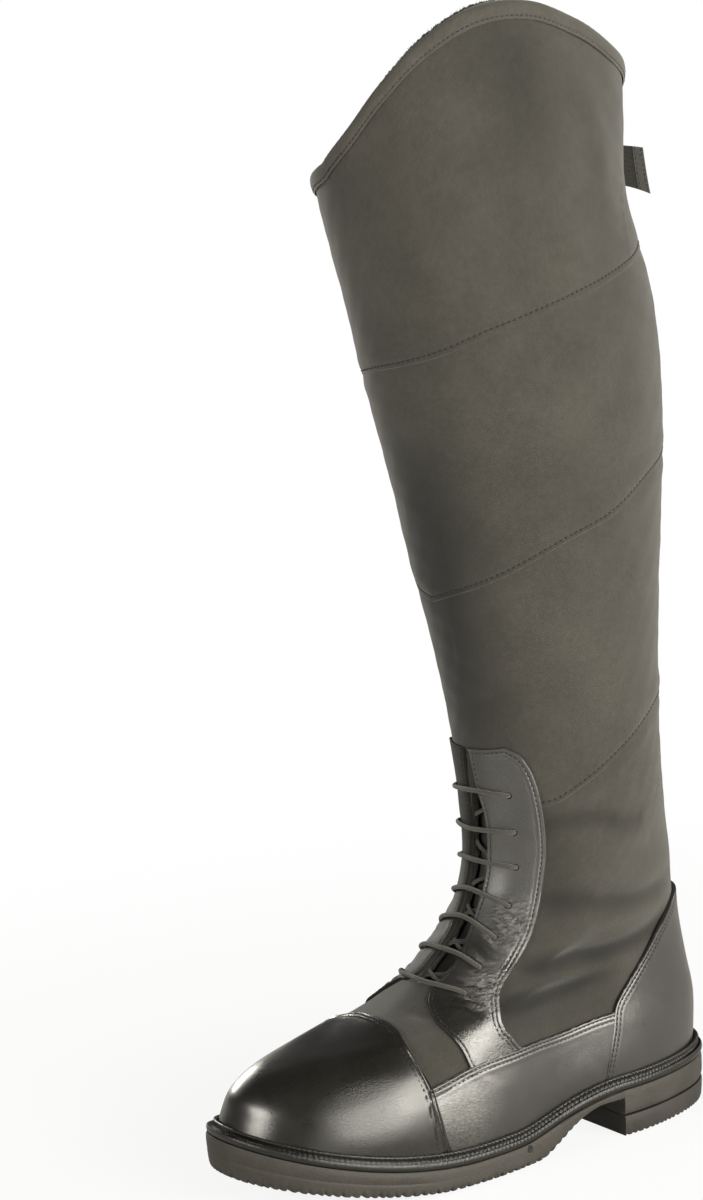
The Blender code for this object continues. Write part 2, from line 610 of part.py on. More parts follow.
facing = np.array(FACING)
fv = np.repeat(facing[:, :1], 6, axis=1)
for name, a, b in (("facing_lateral", facing[:, 1:2], facing[:, 2:3]),
                   ("facing_medial", facing[:, 3:4], -facing[:, 2:3])):
    overlay(name, a + (b - a) * np.linspace(0, 1, 6)[None, :], fv, HIDE)

front_edge = np.array(COUNTER_EDGE)
low = front_edge[:4].copy()
low[0, 1] = V_LOW
arch = front_edge[3:]
arch = np.vstack([arch, (arch[:-1] * [-1, 1] + [1, 0])[::-1]])
ku, kv = coons([(0.335, V_LOW), (0.42, V_LOW), (0.5, V_LOW), (0.58, V_LOW), (0.665, V_LOW)], arch,
               low, low * [-1, 1] + [1, 0], 6, 17)
overlay("heel_counter", ku, kv, HIDE)

# ------------------------------------------------------------------ collar binding
BIND_W, BIND_T, BIND_GAP = 7.0, 1.2, 0.75
bu = np.linspace(ZIP_U + ZIP_HALF + 0.002, 1 + ZIP_U - ZIP_HALF - 0.002, 40)
section = ((BIND_GAP, -BIND_W), (BIND_GAP + BIND_T, -BIND_W), (BIND_GAP + BIND_T, BIND_T + BIND_GAP),
           (-WALL - BIND_GAP - BIND_T, BIND_T + BIND_GAP), (-WALL - BIND_GAP - BIND_T, -BIND_W),
           (-WALL - BIND_GAP, -BIND_W), (-WALL - BIND_GAP, BIND_GAP), (BIND_GAP, BIND_GAP))
ring("collar_binding", np.stack([upper_point(bu, np.full(bu.shape, 1 + up / RUN), off)
                                 for off, up in section], axis=1), TEXTILE, closed=False)


# ------------------------------------------------------------------ lace
def tube(name, path, radius, mat, sides=6):
    path = np.asarray(path, float)
    tangent = np.gradient(path, axis=0)
    tangent /= np.linalg.norm(tangent, axis=1)[:, None]
    across = np.cross(tangent, np.cross(tangent, [0.0, 0.2, 1.0]))
    across /= np.linalg.norm(across, axis=1)[:, None]
    other = np.cross(tangent, across)
    a = 2 * pi * np.arange(sides) / sides
    pts = path[:, None] + radius * (across[:, None] * np.cos(a)[None, :, None] + other[:, None] * np.sin(a)[None, :, None])
    return ring(name, pts, mat, closed=False)


def over_surface(start, crest, end, off, count):
    """Way over the upper between two (u, v) points: the cut of the surface by the plane
    through both of them and the crest."""
    a, c, b = (upper_point(np.array([p[0]]), np.array([p[1]]))[0] for p in (start, crest, end))
    plane = np.cross(b - a, c - a)
    us = np.linspace(start[0], end[0], count)
    vs = np.linspace(min(start[1], end[1]) - 0.02, max(start[1], end[1]) + 0.14, 200)
    path = []
    for k, u in enumerate(us):
        side = (upper_point(np.full(200, u), vs) - a) @ plane
        i = np.where(np.diff(np.sign(side)) != 0)[0]
        t = 2.0 * k / (count - 1)
        guess = start[1] * max(1 - t, 0) + end[1] * max(t - 1, 0) + crest[1] * min(t, 2 - t)
        if len(i):
            i = i[np.argmin(np.abs(vs[i] - guess))]
            guess = vs[i] - side[i] * (vs[i + 1] - vs[i]) / (side[i + 1] - side[i])
        path.append((u, guess))
    path = np.array(path)
    return upper_point(path[:, 0], path[:, 1], off)


LACE_OFF = 2 * GAP + FACET + LEATHER + CORD_R + 0.8
rungs = []
for v, u, crest in EYELETS:
    rungs.append(over_surface((u, v), (CREST_U, crest), (-u, v), LACE_OFF, 9))
pieces = [tube("rung_%d" % k, p, CORD_R, CORD) for k, p in enumerate(rungs)]
for k in range(len(rungs) - 1):
    a, b = (3, 5) if k % 2 else (5, 3)
    p, q = rungs[k][a], rungs[k + 1][b]
    pieces.append(tube("crossing_%d" % k, [p, (p + q) / 2, q], CORD_R * 0.9, CORD))
lace = pieces[0]
lace.name = "lace"
for other in pieces[1:]:
    boolean(lace, other, "UNION")

# ------------------------------------------------------------------ zip
zrows = np.concatenate([UPPER_V[(UPPER_V > ZIP_V0) & (UPPER_V < ZIP_V1)], [ZIP_V1]])
zrows[0] += 0.002


def strip(name, half, low, high, mat, rows=zrows, cols=3):
    u = ZIP_U + np.linspace(-half, half, cols)[None, :] + 0 * rows[:, None]
    v = np.repeat(rows[:, None], cols, axis=1)
    return shell(name, upper_point(u, v, high), upper_point(u, v, low), mat)


strip("zip_tape", ZIP_HALF - 0.0012, -2.4, -0.9, TAPE, cols=2)
strip("zip_coil", COIL_HALF, -0.6, 0.8, TAPE)
strip("zip_stop", 0.011, 1.2, 2.6, METAL, rows=np.array([0.224, 0.230, 0.236]))

SLIDER_V = 0.970
here = upper_point(np.array([ZIP_U]), np.array([SLIDER_V]))[0]
ahead = upper_point(np.array([ZIP_U]), np.array([SLIDER_V + 0.01]))[0] - here
beside = upper_point(np.array([ZIP_U + 0.01]), np.array([SLIDER_V]))[0] - here
zip_up = ahead / np.linalg.norm(ahead)
zip_out = np.cross(beside, zip_up)
zip_out /= np.linalg.norm(zip_out)
if zip_out[1] < 0:
    zip_out = -zip_out
zip_side = np.cross(zip_up, zip_out)


def zip_frame(points):
    """Points given across, along and out from the zip, at the slider."""
    p = np.asarray(points, float)
    return here + p[:, :1] * zip_side + p[:, 1:2] * zip_up + p[:, 2:3] * zip_out


SLIDER_LOW, SLIDER_T = 1.25, 1.5
slider_verts, slider_faces = box_mesh(-4.0, 4.0, -5.0, 5.0, SLIDER_LOW, SLIDER_LOW + SLIDER_T)
slider_verts = [(x * (0.75 if y < 0 else 1.0), y, z) for x, y, z in slider_verts]
slider = add("zip_slider", zip_frame(slider_verts), slider_faces, METAL)
# the bridge: an arch along the zip, which the pull's cross bar lies under
BRIDGE_Y, BRIDGE_H = 3.6, 3.2
z0 = SLIDER_LOW + SLIDER_T
arch_profile = [(-BRIDGE_Y, -0.4), (-BRIDGE_Y, BRIDGE_H * 0.75), (-BRIDGE_Y * 0.6, BRIDGE_H), (BRIDGE_Y * 0.6, BRIDGE_H),
                (BRIDGE_Y, BRIDGE_H * 0.75), (BRIDGE_Y, -0.4), (BRIDGE_Y - 1.0, -0.4), (BRIDGE_Y - 1.0, BRIDGE_H * 0.55),
                (BRIDGE_Y * 0.5, BRIDGE_H - 1.0), (-BRIDGE_Y * 0.5, BRIDGE_H - 1.0), (-BRIDGE_Y + 1.0, BRIDGE_H * 0.55),
                (-BRIDGE_Y + 1.0, -0.4)]
bridge = ring("bridge", np.stack([zip_frame([(x, y, z0 + z) for y, z in arch_profile]) for x in (-1.0, 1.0)]),
              METAL, closed=False)
boolean(slider, bridge, "UNION")

# the pull: a flat plate whose window goes round the bridge; it turns on its cross bar
BAR_Y = BRIDGE_Y - 2.1
PULL_Z = z0 + 0.95
w, l = PULL_WIDTH / 2, PULL_LENGTH
rim = [(-w, BAR_Y + 0.6), (w, BAR_Y + 0.6), (w, -l * 0.5), (w * 0.8, -l), (-w * 0.8, -l), (-w, -l * 0.5)]
window = [(-1.6, BAR_Y - 0.6), (1.6, BAR_Y - 0.6), (1.6, -6.2), (1.2, -6.8), (-1.2, -6.8), (-1.6, -6.2)]
pull_verts, pull_faces = [], []
for z in (PULL_Z - PULL_T / 2, PULL_Z + PULL_T / 2):
    pull_verts += [(x, y, z) for x, y in rim] + [(x, y, z) for x, y in window]
for i in range(6):
    j = (i + 1) % 6
    pull_faces += [[i, j, 6 + j, 6 + i], [12 + i, 18 + i, 18 + j, 12 + j],
                   [i, 12 + i, 12 + j, j], [6 + i, 6 + j, 18 + j, 18 + i]]
pull = add("zip_pull", zip_frame(pull_verts), pull_faces, METAL)
hinge = zip_frame([(0.0, BAR_Y, PULL_Z)])[0] * MM       # the joint's axis runs across the zip
for v in pull.data.vertices:
    v.co -= Vector(hinge)
pull.location = hinge

# ------------------------------------------------------------------ tab over the zip's top
TAB_DIRECTION = np.array([0.60, 0.80, 0.0])
tab_rows = []
for v in np.linspace(TAB_V[0], TAB_V[1], 5):
    us = np.linspace(TAB_ROOT_U, TAB_LEAVE_U, 5)
    near, far = (upper_point(us, np.full(5, v), off) for off in (GAP + 0.5, GAP + 0.5 + TAB_T))
    thick = far[-1] - near[-1]
    lean = upper_point(np.array([0.5]), np.array([v + 0.01]))[0] - upper_point(np.array([0.5]), np.array([v]))[0]
    across = np.cross(TAB_DIRECTION, lean)
    across *= np.sign(across[0] * -1) / np.linalg.norm(across)
    bend = near[-1] + TAB_DIRECTION * 3.0 + (near[-1] - near[-2]) * 0.4
    hang = (TAB_V[1] - v) / (TAB_V[1] - TAB_V[0])            # the lower edge droops more
    free = [bend + TAB_DIRECTION * (TAB_FREE * (0.91 + 0.09 * hang)) * k
            - np.array([0.0, 0.0, 3.0 + 4.2 * hang]) * k * k for k in (0.0, 0.5, 1.0)]
    low_edge = np.vstack([near, free])
    high_edge = np.vstack([far, [p + across * TAB_T for p in free]])
    tab_rows.append((low_edge, high_edge))
shell("top_tab", np.array([r[1] for r in tab_rows]), np.array([r[0] for r in tab_rows]), HIDE)
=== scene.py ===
"""Looks of the winter riding boot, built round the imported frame.

All shapes are worked out in mm from the boot's own sizes and turned to metres at the end.
u runs once round the leg from the front (0) over the outer side (0.25) and the back (0.5)
to the inner side (0.75); v runs from the feather line (0) to the top line (1).
"""
from math import pi

import bmesh
import bpy
import numpy as np
from mathutils import Matrix, Vector


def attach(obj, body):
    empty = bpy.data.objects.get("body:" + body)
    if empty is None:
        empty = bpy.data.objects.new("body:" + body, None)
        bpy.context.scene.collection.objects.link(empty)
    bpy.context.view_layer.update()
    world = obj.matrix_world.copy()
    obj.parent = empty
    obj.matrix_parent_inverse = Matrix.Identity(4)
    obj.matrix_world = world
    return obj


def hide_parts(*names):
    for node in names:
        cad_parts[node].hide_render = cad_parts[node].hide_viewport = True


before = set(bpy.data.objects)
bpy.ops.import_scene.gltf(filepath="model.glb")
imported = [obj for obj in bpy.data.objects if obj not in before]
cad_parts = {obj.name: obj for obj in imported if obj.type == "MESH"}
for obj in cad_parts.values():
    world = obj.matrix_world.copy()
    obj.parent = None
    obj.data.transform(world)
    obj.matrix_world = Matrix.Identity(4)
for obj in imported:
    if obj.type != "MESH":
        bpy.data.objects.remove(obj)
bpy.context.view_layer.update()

MM = 0.001

# ------------------------------------------------------------------ driving sizes, mm
SOLE_LENGTH = 269.0        # outsole, toe to heel
HEEL_BACK_Y = 129.5        # places the back of the outsole, so the origin is mid-length
GAP = 0.3                  # between pieces that touch
WALL = 3.6                 # upper: shell cloth or leather with its fleece lining
LEATHER = 1.5              # overlays
FACET = 0.95               # added under an overlay, so that flat facets keep the gap
WELT_T = 3.2               # welt strip
WELT_OUT = 5.4             # welt edge beyond the upper
SOLE_OUT = 6.0             # outsole edge beyond the upper
TOE_FLARE = 1.8            # more of both at the toe
LIP_H = 3.6                # storm lip above the welt
HEEL_HEIGHT = 17.8         # heel breast, floor to shank
HEEL_BREAST = 72.0         # distance of the breast from the back of the sole
TOP_LIFT = 10.0            # wear piece under the heel
BALL_Z, HEEL_Z = 14.6, 26.4   # top of the welt at ball and heel
SPRING_TOP, SPRING_BOTTOM = 23.0, 17.0
LUG_DEPTH = 2.6
INSOLE_T = 5.0
TONGUE_T = 2.2
TONGUE_GAP = 1.0
CORD_R = 1.15              # lace cord radius
BODY = "boot"

# ------------------------------------------------------------------ the last
# One row for each section.  yf, zf: its front point; yb, zb: its back point (y from the
# back of the sole, negative to the toe; height above the floor).  wl, wm: half widths to
# the outer and inner side.  pw: place of the widest point from back to front.  nf, nb:
# fullness of the front and back halves (2 = ellipse).  pl, pm: how far the waist of the
# foot is drawn in, outer and inner.  xf, xc: sideways shift of the front point and of
# the middle.  sag: how much of the sole's curve the section follows.
LAST_COLUMNS = ("yf", "zf", "yb", "zb", "wl", "wm", "pw", "nf", "nb", "pl", "pm", "xf", "xc", "sag")
LAST = (
    (-261.0, 0.0,   -5.0, 0.0,   49.0, 46.5, 0.66, 2.20, 2.30, 7.5, 11.0, 2.0, 2.0, 1.00),   # feather line
    (-258.5, 41.5,  -3.6, 37.5,  50.5, 48.0, 0.66, 2.10, 2.25, 7.0, 10.0, 2.0, 2.0, 0.95),
    (-255.0, 49.5,  -2.2, 53.5,  50.0, 47.5, 0.65, 2.00, 2.20, 6.5, 9.0, 2.5, 2.0, 0.85),    # toe box
    (-246.5, 56.5,  -4.2, 71.5,  47.5, 46.0, 0.62, 1.95, 2.10, 5.5, 7.5, 3.5, 2.0, 0.70),
    (-230.5, 61.5,  -6.6, 91.0,  44.5, 44.0, 0.57, 1.88, 2.00, 4.0, 5.0, 5.0, 2.0, 0.50),
    (-205.0, 65.0,  -7.8, 110.0, 42.0, 42.0, 0.52, 1.75, 2.00, 2.5, 3.0, 6.5, 2.0, 0.30),    # vamp
    (-176.0, 75.0,  -8.5, 129.0, 40.5, 41.0, 0.48, 1.68, 2.00, 1.0, 1.0, 7.5, 2.0, 0.15),    # instep
    (-154.5, 89.5,  -10.5, 147.0, 40.0, 41.0, 0.46, 1.72, 2.00, 0.0, 0.0, 8.0, 1.5, 0.05),
    (-134.5, 107.5, -12.0, 164.0, 41.0, 42.0, 0.46, 1.75, 2.00, 0.0, 0.0, 7.5, 1.0, 0.0),
    (-122.0, 131.0, -13.0, 180.0, 43.0, 44.0, 0.48, 1.85, 2.00, 0.0, 0.0, 6.5, 0.5, 0.0),    # throat
    (-119.0, 161.0, -13.5, 198.0, 45.5, 46.0, 0.50, 1.95, 2.00, 0.0, 0.0, 5.5, 0.0, 0.0),    # ankle
    (-120.0, 195.0, -12.5, 220.0, 47.5, 47.5, 0.50, 2.05, 2.00, 0.0, 0.0, 4.0, 0.0, 0.0),
    (-126.0, 237.0, -10.5, 252.0, 50.0, 50.0, 0.50, 2.00, 2.00, 0.0, 0.0, 2.0, 0.0, 0.0),
    (-135.5, 287.0, -6.5, 296.0, 54.0, 54.0, 0.50, 2.00, 2.00, 0.0, 0.0, 0.5, 0.0, 0.0),
    (-145.0, 337.0, -1.2, 346.0, 57.0, 57.0, 0.50, 2.00, 2.00, 0.0, 0.0, 0.0, 0.0, 0.0),     # calf
    (-155.0, 386.0, -3.2, 398.0, 59.0, 59.0, 0.50, 2.00, 2.00, 0.0, 0.0, 0.0, 0.0, 0.0),
    (-164.0, 430.0, -15.2, 448.0, 60.0, 60.0, 0.50, 2.00, 2.00, 0.0, 0.0, 0.0, 0.0, 0.0),
    (-172.5, 474.0, -13.4, 497.0, 60.0, 60.0, 0.50, 2.00, 2.00, 0.0, 0.0, 0.0, 0.0, 0.0),    # level of the top line
    (-179.5, 520.0, -10.5, 542.0, 60.0, 60.0, 0.50, 2.00, 2.00, 0.0, 0.0, 0.0, 0.0, 0.0),    # above it
)
TOP_ROW = 17               # the row that stands for v = 1 before the top line is cut

# Top line: outer side high, inner side dipped.  u, and height along the form.
TOP_LINE_COLUMNS = ("u", "cut")
TOP_LINE = (
    (0.00, 0.990), (0.06, 1.020), (0.10, 1.048), (0.15, 1.080), (0.20, 1.099), (0.25, 1.096),
    (0.30, 1.074), (0.36, 1.044), (0.43, 1.020), (0.50, 1.000), (0.60, 0.980), (0.70, 0.964),
    (0.80, 0.962), (0.90, 0.972), (1.00, 0.990),
)

# Throat: opening under the lacing.  v, its centre in u, half width in u.
THROAT_COLUMNS = ("v", "mid", "half")
THROAT_V = (0.238, 0.397)
THROAT = (
    (0.000, 0.000, 0.012), (0.070, 0.000, 0.014), (0.150, 0.006, 0.020), (0.200, 0.014, 0.030),
    (0.238, 0.019, 0.039), (0.262, 0.019, 0.040), (0.283, 0.013, 0.033), (0.305, 0.007, 0.031),
    (0.344, 0.006, 0.029), (0.380, 0.009, 0.022), (0.397, 0.005, 0.011), (0.450, 0.000, 0.010),
    (1.000, 0.000, 0.010),
)

# Zip: slot up the middle of the back.  The chain ends below the top line.
ZIP_U, ZIP_HALF = 0.500, 0.0085
ZIP_V0, ZIP_V1 = 0.225, 0.982
COIL_HALF = 0.0062
PULL_LENGTH, PULL_WIDTH, PULL_T = 12.5, 6.0, 1.0

# Lace stays: v, u of the outer stay's front edge (at the throat, then down the vamp) and
# back edge, and of the inner stay's front edge; the inner back edge mirrors the outer one.
FACING_COLUMNS = ("v", "front", "back", "inner_front")
FACING = (
    (0.433, 0.006, 0.080, -0.006), (0.427, 0.007, 0.098, -0.007), (0.415, 0.010, 0.114, -0.009),
    (0.400, 0.016, 0.124, -0.010), (0.380, 0.030, 0.131, -0.012), (0.344, 0.034, 0.136, -0.022),
    (0.305, 0.037, 0.142, -0.024), (0.283, 0.044, 0.149, -0.019), (0.262, 0.057, 0.158, -0.018),
    (0.244, 0.061, 0.164, -0.023), (0.232, 0.056, 0.166, -0.046), (0.214, 0.068, 0.167, -0.086),
    (0.185, 0.103, 0.174, -0.122), (0.160, 0.133, 0.191, -0.146), (0.139, 0.159, 0.210, -0.166),
    (0.117, 0.187, 0.232, -0.190), (0.097, 0.212, 0.256, -0.213), (0.080, 0.232, 0.270, -0.232),
)

# Lace rungs, from the top down: v and u of the outer eyelet (the inner one mirrors it), and
# v where the cord goes over the ridge of the instep.
EYELET_COLUMNS = ("v", "u", "crest")
EYELETS = (
    (0.394, 0.080, 0.400), (0.364, 0.086, 0.370), (0.335, 0.091, 0.346), (0.301, 0.097, 0.322),
    (0.268, 0.104, 0.300), (0.233, 0.114, 0.270), (0.198, 0.126, 0.238),
)
CREST_U = 0.0

# Tab over the top of the zip: sewn to the inner side, its free end standing off.
TAB_ROOT_U, TAB_LEAVE_U = 0.595, 0.545
TAB_V = (0.926, 0.962)
TAB_FREE, TAB_T = 28.5, 2.2

# Toe cap: its seam, from the top of the foot down to the feather line.  u, v.
CAP_SEAM = ((0.000, 0.193), (0.045, 0.186), (0.086, 0.167), (0.120, 0.141), (0.150, 0.116),
            (0.181, 0.089), (0.208, 0.064), (0.227, 0.040), (0.246, 0.008))
# Rand: its top edge, from the toe cap back to the counter.  u, v.
RAND_TOP = ((0.211, 0.065), (0.242, 0.077), (0.272, 0.076), (0.310, 0.064), (0.343, 0.058))
# Heel counter: front edge, from the feather line up to the back.  u, v.
COUNTER_EDGE = ((0.334, 0.008), (0.339, 0.043), (0.343, 0.067), (0.357, 0.087), (0.376, 0.107),
                (0.398, 0.126), (0.425, 0.141), (0.460, 0.146), (0.500, 0.147))
V_LOW = 0.0115             # overlays end this far up, just over the storm lip


# ------------------------------------------------------------------ curves and tables
def smooth(s):
    s = np.clip(s, 0.0, 1.0)
    return s * s * (3.0 - 2.0 * s)


def welt_top(y):
    """Height of the welt's top along the boot: heel, arch, ball and toe spring."""
    q = -np.asarray(y, float) / SOLE_LENGTH
    return (HEEL_Z + (BALL_Z - HEEL_Z) * smooth((q - 0.26) / 0.25)
            + SPRING_TOP * np.clip((q - 0.60) / 0.40, 0.0, 1.2) ** 1.75)


def sole_bottom(y):
    """Height of the tread: flat under the ball, sprung at the toe, up to the shank."""
    q = -np.asarray(y, float) / SOLE_LENGTH
    return (HEEL_HEIGHT * smooth((0.466 - q) / 0.160)
            + SPRING_BOTTOM * np.clip((q - 0.645) / 0.355, 0.0, 1.2) ** 1.45)


def through(knots, rows, at):
    """Smooth curve through rows at knots."""
    knots, rows, at = np.asarray(knots, float), np.asarray(rows, float), np.asarray(at, float)
    step = np.diff(knots)
    slope = np.diff(rows, axis=0) / step[:, None]
    tangent = np.empty_like(rows)
    tangent[0], tangent[-1] = slope[0], slope[-1]
    share = (step[:-1] / (step[:-1] + step[1:]))[:, None]
    tangent[1:-1] = slope[:-1] * (1 - share) + slope[1:] * share
    i = np.clip(np.searchsorted(knots, at, side="right") - 1, 0, len(step) - 1)
    t, h = ((at - knots[i]) / step[i])[:, None], step[i][:, None]
    return (rows[i] * (2 * t ** 3 - 3 * t ** 2 + 1) + tangent[i] * h * (t ** 3 - 2 * t ** 2 + t)
            + rows[i + 1] * (3 * t ** 2 - 2 * t ** 3) + tangent[i + 1] * h * (t ** 3 - t ** 2))


def table(rows, at):
    """Columns 1.. of a table, read at values of its first column."""
    rows = np.asarray(rows, float)
    at = np.atleast_1d(np.asarray(at, float))
    return through(rows[:, 0], rows[:, 1:], np.clip(at, rows[0, 0], rows[-1, 0]))


LAST_A = np.array(LAST, float)
LAST_A[0, 1], LAST_A[0, 3] = welt_top(LAST_A[0, 0]), welt_top(LAST_A[0, 2])
_run = 0.5 * (np.hypot(np.diff(LAST_A[:, 0]), np.diff(LAST_A[:, 1]))
              + np.hypot(np.diff(LAST_A[:, 2]), np.diff(LAST_A[:, 3])))
LAST_KNOTS = np.concatenate([[0.0], np.cumsum(_run)])
RUN = LAST_KNOTS[TOP_ROW]                 # mm along the form for v = 1
LAST_KNOTS = LAST_KNOTS / RUN


def form_point(u, w):
    """Point of the leg's form at u, at height w along it (1 = level of the top line)."""
    yf, zf, yb, zb, wl, wm, pw, nf, nb, pl, pm, xf, xc, sag = through(LAST_KNOTS, LAST_A, w).T
    c, s = np.cos(2 * pi * u), np.sin(2 * pi * u)
    n = np.where(c > 0, nf, nb)
    along, across = np.abs(c) ** (2 / n), np.abs(s) ** (2 / n)
    q = np.where(c > 0, pw + (1 - pw) * along, pw - pw * along)
    waist = np.exp(-((q - 0.40) / 0.13) ** 2) * np.minimum(1.0, 1.2 * across)
    half = np.where(s > 0, wl, wm) * across - np.where(s > 0, pl, pm) * waist
    y = yb + (yf - yb) * q
    z = zb + (zf - zb) * q + sag * (welt_top(y) - (welt_top(yb) + (welt_top(yf) - welt_top(yb)) * q))
    x = xc * 2 * q * (1 - q) + xf * q * q + np.sign(s) * half
    return np.stack([x, y + HEEL_BACK_Y, z], 1)


def cut_height(u, v):
    top = table(TOP_LINE, np.mod(u, 1.0))[:, 0]
    return v + (top - 1.0) * smooth((v - 0.70) / 0.30)


def upper_point(u, v, off=0.0):
    """Point of the upper at (u, v), off mm out from its outside."""
    u, v = np.broadcast_arrays(np.asarray(u, float), np.asarray(v, float))
    shape = u.shape
    u, v = u.ravel(), v.ravel()
    w = cut_height(u, v)
    p = form_point(u, w)
    if np.any(off):
        e = 0.002
        du = form_point(u + e, w) - form_point(u - e, w)
        dv = form_point(u, w + e) - form_point(u, np.maximum(w - e, 0.0))
        n = np.cross(du, dv)
        n /= np.linalg.norm(n, axis=1)[:, None]
        p = p + n * np.broadcast_to(off, shape).ravel()[:, None]
    return p.reshape(shape + (3,))


def foot_plan(u, grow):
    """The feather line in plan, grown outward by grow mm.  Returns x and y."""
    u = np.asarray(u, float)
    e = 0.001
    p = form_point(u, np.zeros(u.shape))
    d = form_point(u + e, np.zeros(u.shape)) - form_point(u - e, np.zeros(u.shape))
    n = np.stack([-d[:, 1], d[:, 0]], 1)
    n /= np.linalg.norm(n, axis=1)[:, None]
    n *= np.sign(np.sum(n * (p[:, :2] - p[:, :2].mean(axis=0)), axis=1))[:, None]
    return p[:, :2] + n * np.broadcast_to(grow, u.shape)[:, None]

# ------------------------------------------------------------------ sole edges
def edge(u, out):
    """Distance of a sole edge beyond the upper: out, and wider round the toe."""
    return out + TOE_FLARE * np.exp(-(np.minimum(np.mod(u, 1.0), 1.0 - np.mod(u, 1.0)) / 0.13) ** 2)



# ------------------------------------------------------------------ mesh makers
def make(name, verts, faces, mat, uv=None, angle=40, body=BODY, node=None):
    """Mesh piece from points in mm.  faces: arrays or lists of corner lists; uv: the
    matching corner coordinates in mm, kept as the map "cloth" in units of 100 mm."""
    flat, corners = [], []
    for k, part in enumerate(faces):
        part = part.tolist() if isinstance(part, np.ndarray) else part
        flat.extend(part)
        if uv is not None:
            c = uv[k]
            corners.append(np.asarray(c, float).reshape(-1, 2) if not isinstance(c, list)
                           else np.concatenate([np.asarray(x, float).reshape(-1, 2) for x in c]))
    used = np.zeros(len(verts), bool)
    for f in flat:
        used[f] = True
    where = np.cumsum(used) - 1
    mesh = bpy.data.meshes.new(name)
    mesh.from_pydata((np.asarray(verts, float)[used] * MM).tolist(), [], [[int(where[i]) for i in f] for f in flat])
    if uv is not None:
        layer = mesh.uv_layers.new(name="cloth")
        layer.uv.foreach_set("vector", (np.concatenate(corners) / 100.0).astype(np.float32).ravel())
    bm = bmesh.new()
    bm.from_mesh(mesh)
    if bm.calc_volume(signed=True) < 0:
        mesh.flip_normals()
    bm.free()
    mesh.materials.append(mat)
    obj = bpy.data.objects.new(name, mesh)
    bpy.context.scene.collection.objects.link(obj)
    mesh.shade_smooth()
    mesh.set_sharp_from_angle(angle=angle * pi / 180)
    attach(obj, body)
    if node:
        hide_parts(*([node] if isinstance(node, str) else node))
    return obj


def plate(name, outer, inner, mat, uv, step=(4, 4), keep=((), ()), hole=None, closed=False, **more):
    """Closed piece between a fine outer grid and an inner grid that keeps every few of its
    rows and columns.  keep: rows and columns that the inner grid has to keep.
    hole(i, j): is the coarse cell that starts at fine row i and column j left open."""
    rows, cols = outer.shape[:2]
    rs = sorted(set(range(0, rows, step[0])) | {0, rows - 1} | set(keep[0]))
    cs = sorted(set(range(0, cols, step[1])) | {0} | set(keep[1]) | (set() if closed else {cols - 1}))
    span = cs + [cols] if closed else cs
    fine = np.zeros((rows - 1, cols if closed else cols - 1), bool)
    cells = set()
    for a in range(len(rs) - 1):
        for b in range(len(span) - 1):
            if hole is None or not hole(rs[a], span[b]):
                cells.add((a, b))
                fine[rs[a]:rs[a + 1], span[b]:span[b + 1]] = True
    i, j = np.nonzero(fine)
    jn = (j + 1) % cols
    quads = np.stack([i * cols + j, i * cols + jn, (i + 1) * cols + jn, (i + 1) * cols + j], 1)
    quad_uv = np.stack([uv[i, j], uv[i, j + 1], uv[i + 1, j + 1], uv[i + 1, j]], 1)
    base, wide = rows * cols, len(cs)
    verts = np.vstack([outer.reshape(-1, 3), inner[np.ix_(rs, cs)].reshape(-1, 3)])

    def low(a, b):
        return base + a * wide + b % wide

    back, back_uv, walls, wall_uv = [], [], [], []
    nb = len(span) - 1
    for a, b in sorted(cells):
        corner = [(a, b), (a, b + 1), (a + 1, b + 1), (a + 1, b)]
        back.append([low(*c) for c in reversed(corner)])
        back_uv.append([uv[rs[p], span[q]] for p, q in reversed(corner)])
        beside = [(a - 1, b), (a, b + 1), (a + 1, b), (a, b - 1)]
        for k in range(4):
            n = beside[k]
            if closed:
                n = (n[0], n[1] % nb)
            if n in cells:
                continue
            (p0, q0), (p1, q1) = corner[k], corner[(k + 1) % 4]
            if k in (0, 2):
                way = [(rs[p0], q) for q in (range(span[q0], span[q1] + 1) if k == 0 else range(span[q0], span[q1] - 1, -1))]
            else:
                way = [(p, span[q0]) for p in (range(rs[p0], rs[p1] + 1) if k == 1 else range(rs[p0], rs[p1] - 1, -1))]
            walls.append([p * cols + q % cols for p, q in reversed(way)] + [low(p0, q0), low(p1, q1)])
            wall_uv.append([uv[p, q] for p, q in reversed(way)] + [uv[rs[p0], span[q0]], uv[rs[p1], span[q1]]])
    return make(name, verts, [quads, back, walls], mat, [quad_uv, back_uv, wall_uv], **more)


def sweep(name, sections, mat, closed=True, lap=None, **more):
    """Piece swept through sections (stations, points, 3); open ends are capped."""
    n, k = sections.shape[:2]
    run = np.concatenate([[0.0], np.cumsum(np.linalg.norm(np.diff(sections[:, 0], axis=0), axis=1))])
    run = np.append(run, run[-1] + np.linalg.norm(sections[0, 0] - sections[-1, 0]))
    girth = np.concatenate([[0.0], np.cumsum(np.linalg.norm(np.diff(sections[0], axis=0), axis=1))])
    girth = np.append(girth, girth[-1] + np.linalg.norm(sections[0, 0] - sections[0, -1]))
    i, j = [x.ravel() for x in np.meshgrid(np.arange(n if closed else n - 1), np.arange(k), indexing="ij")]
    jn, inn = (j + 1) % k, (i + 1) % n
    faces = [np.stack([i * k + j, i * k + jn, inn * k + jn, inn * k + j], 1)]
    uv = [np.stack([np.stack([run[a], girth[b]], 1) for a, b in ((i, j), (i, j + 1), (i + 1, j + 1), (i + 1, j))], 1)]
    if not closed:
        faces.append([list(reversed(range(k))), [(n - 1) * k + q for q in range(k)]])
        uv.append(np.zeros((2 * k, 2)))
        faces[0] = faces[0][:, ::-1]
        uv[0] = uv[0][:, ::-1]
        faces[1] = [f[::-1] for f in faces[1]]
    return make(name, sections.reshape(-1, 3), faces, mat, uv, **more)


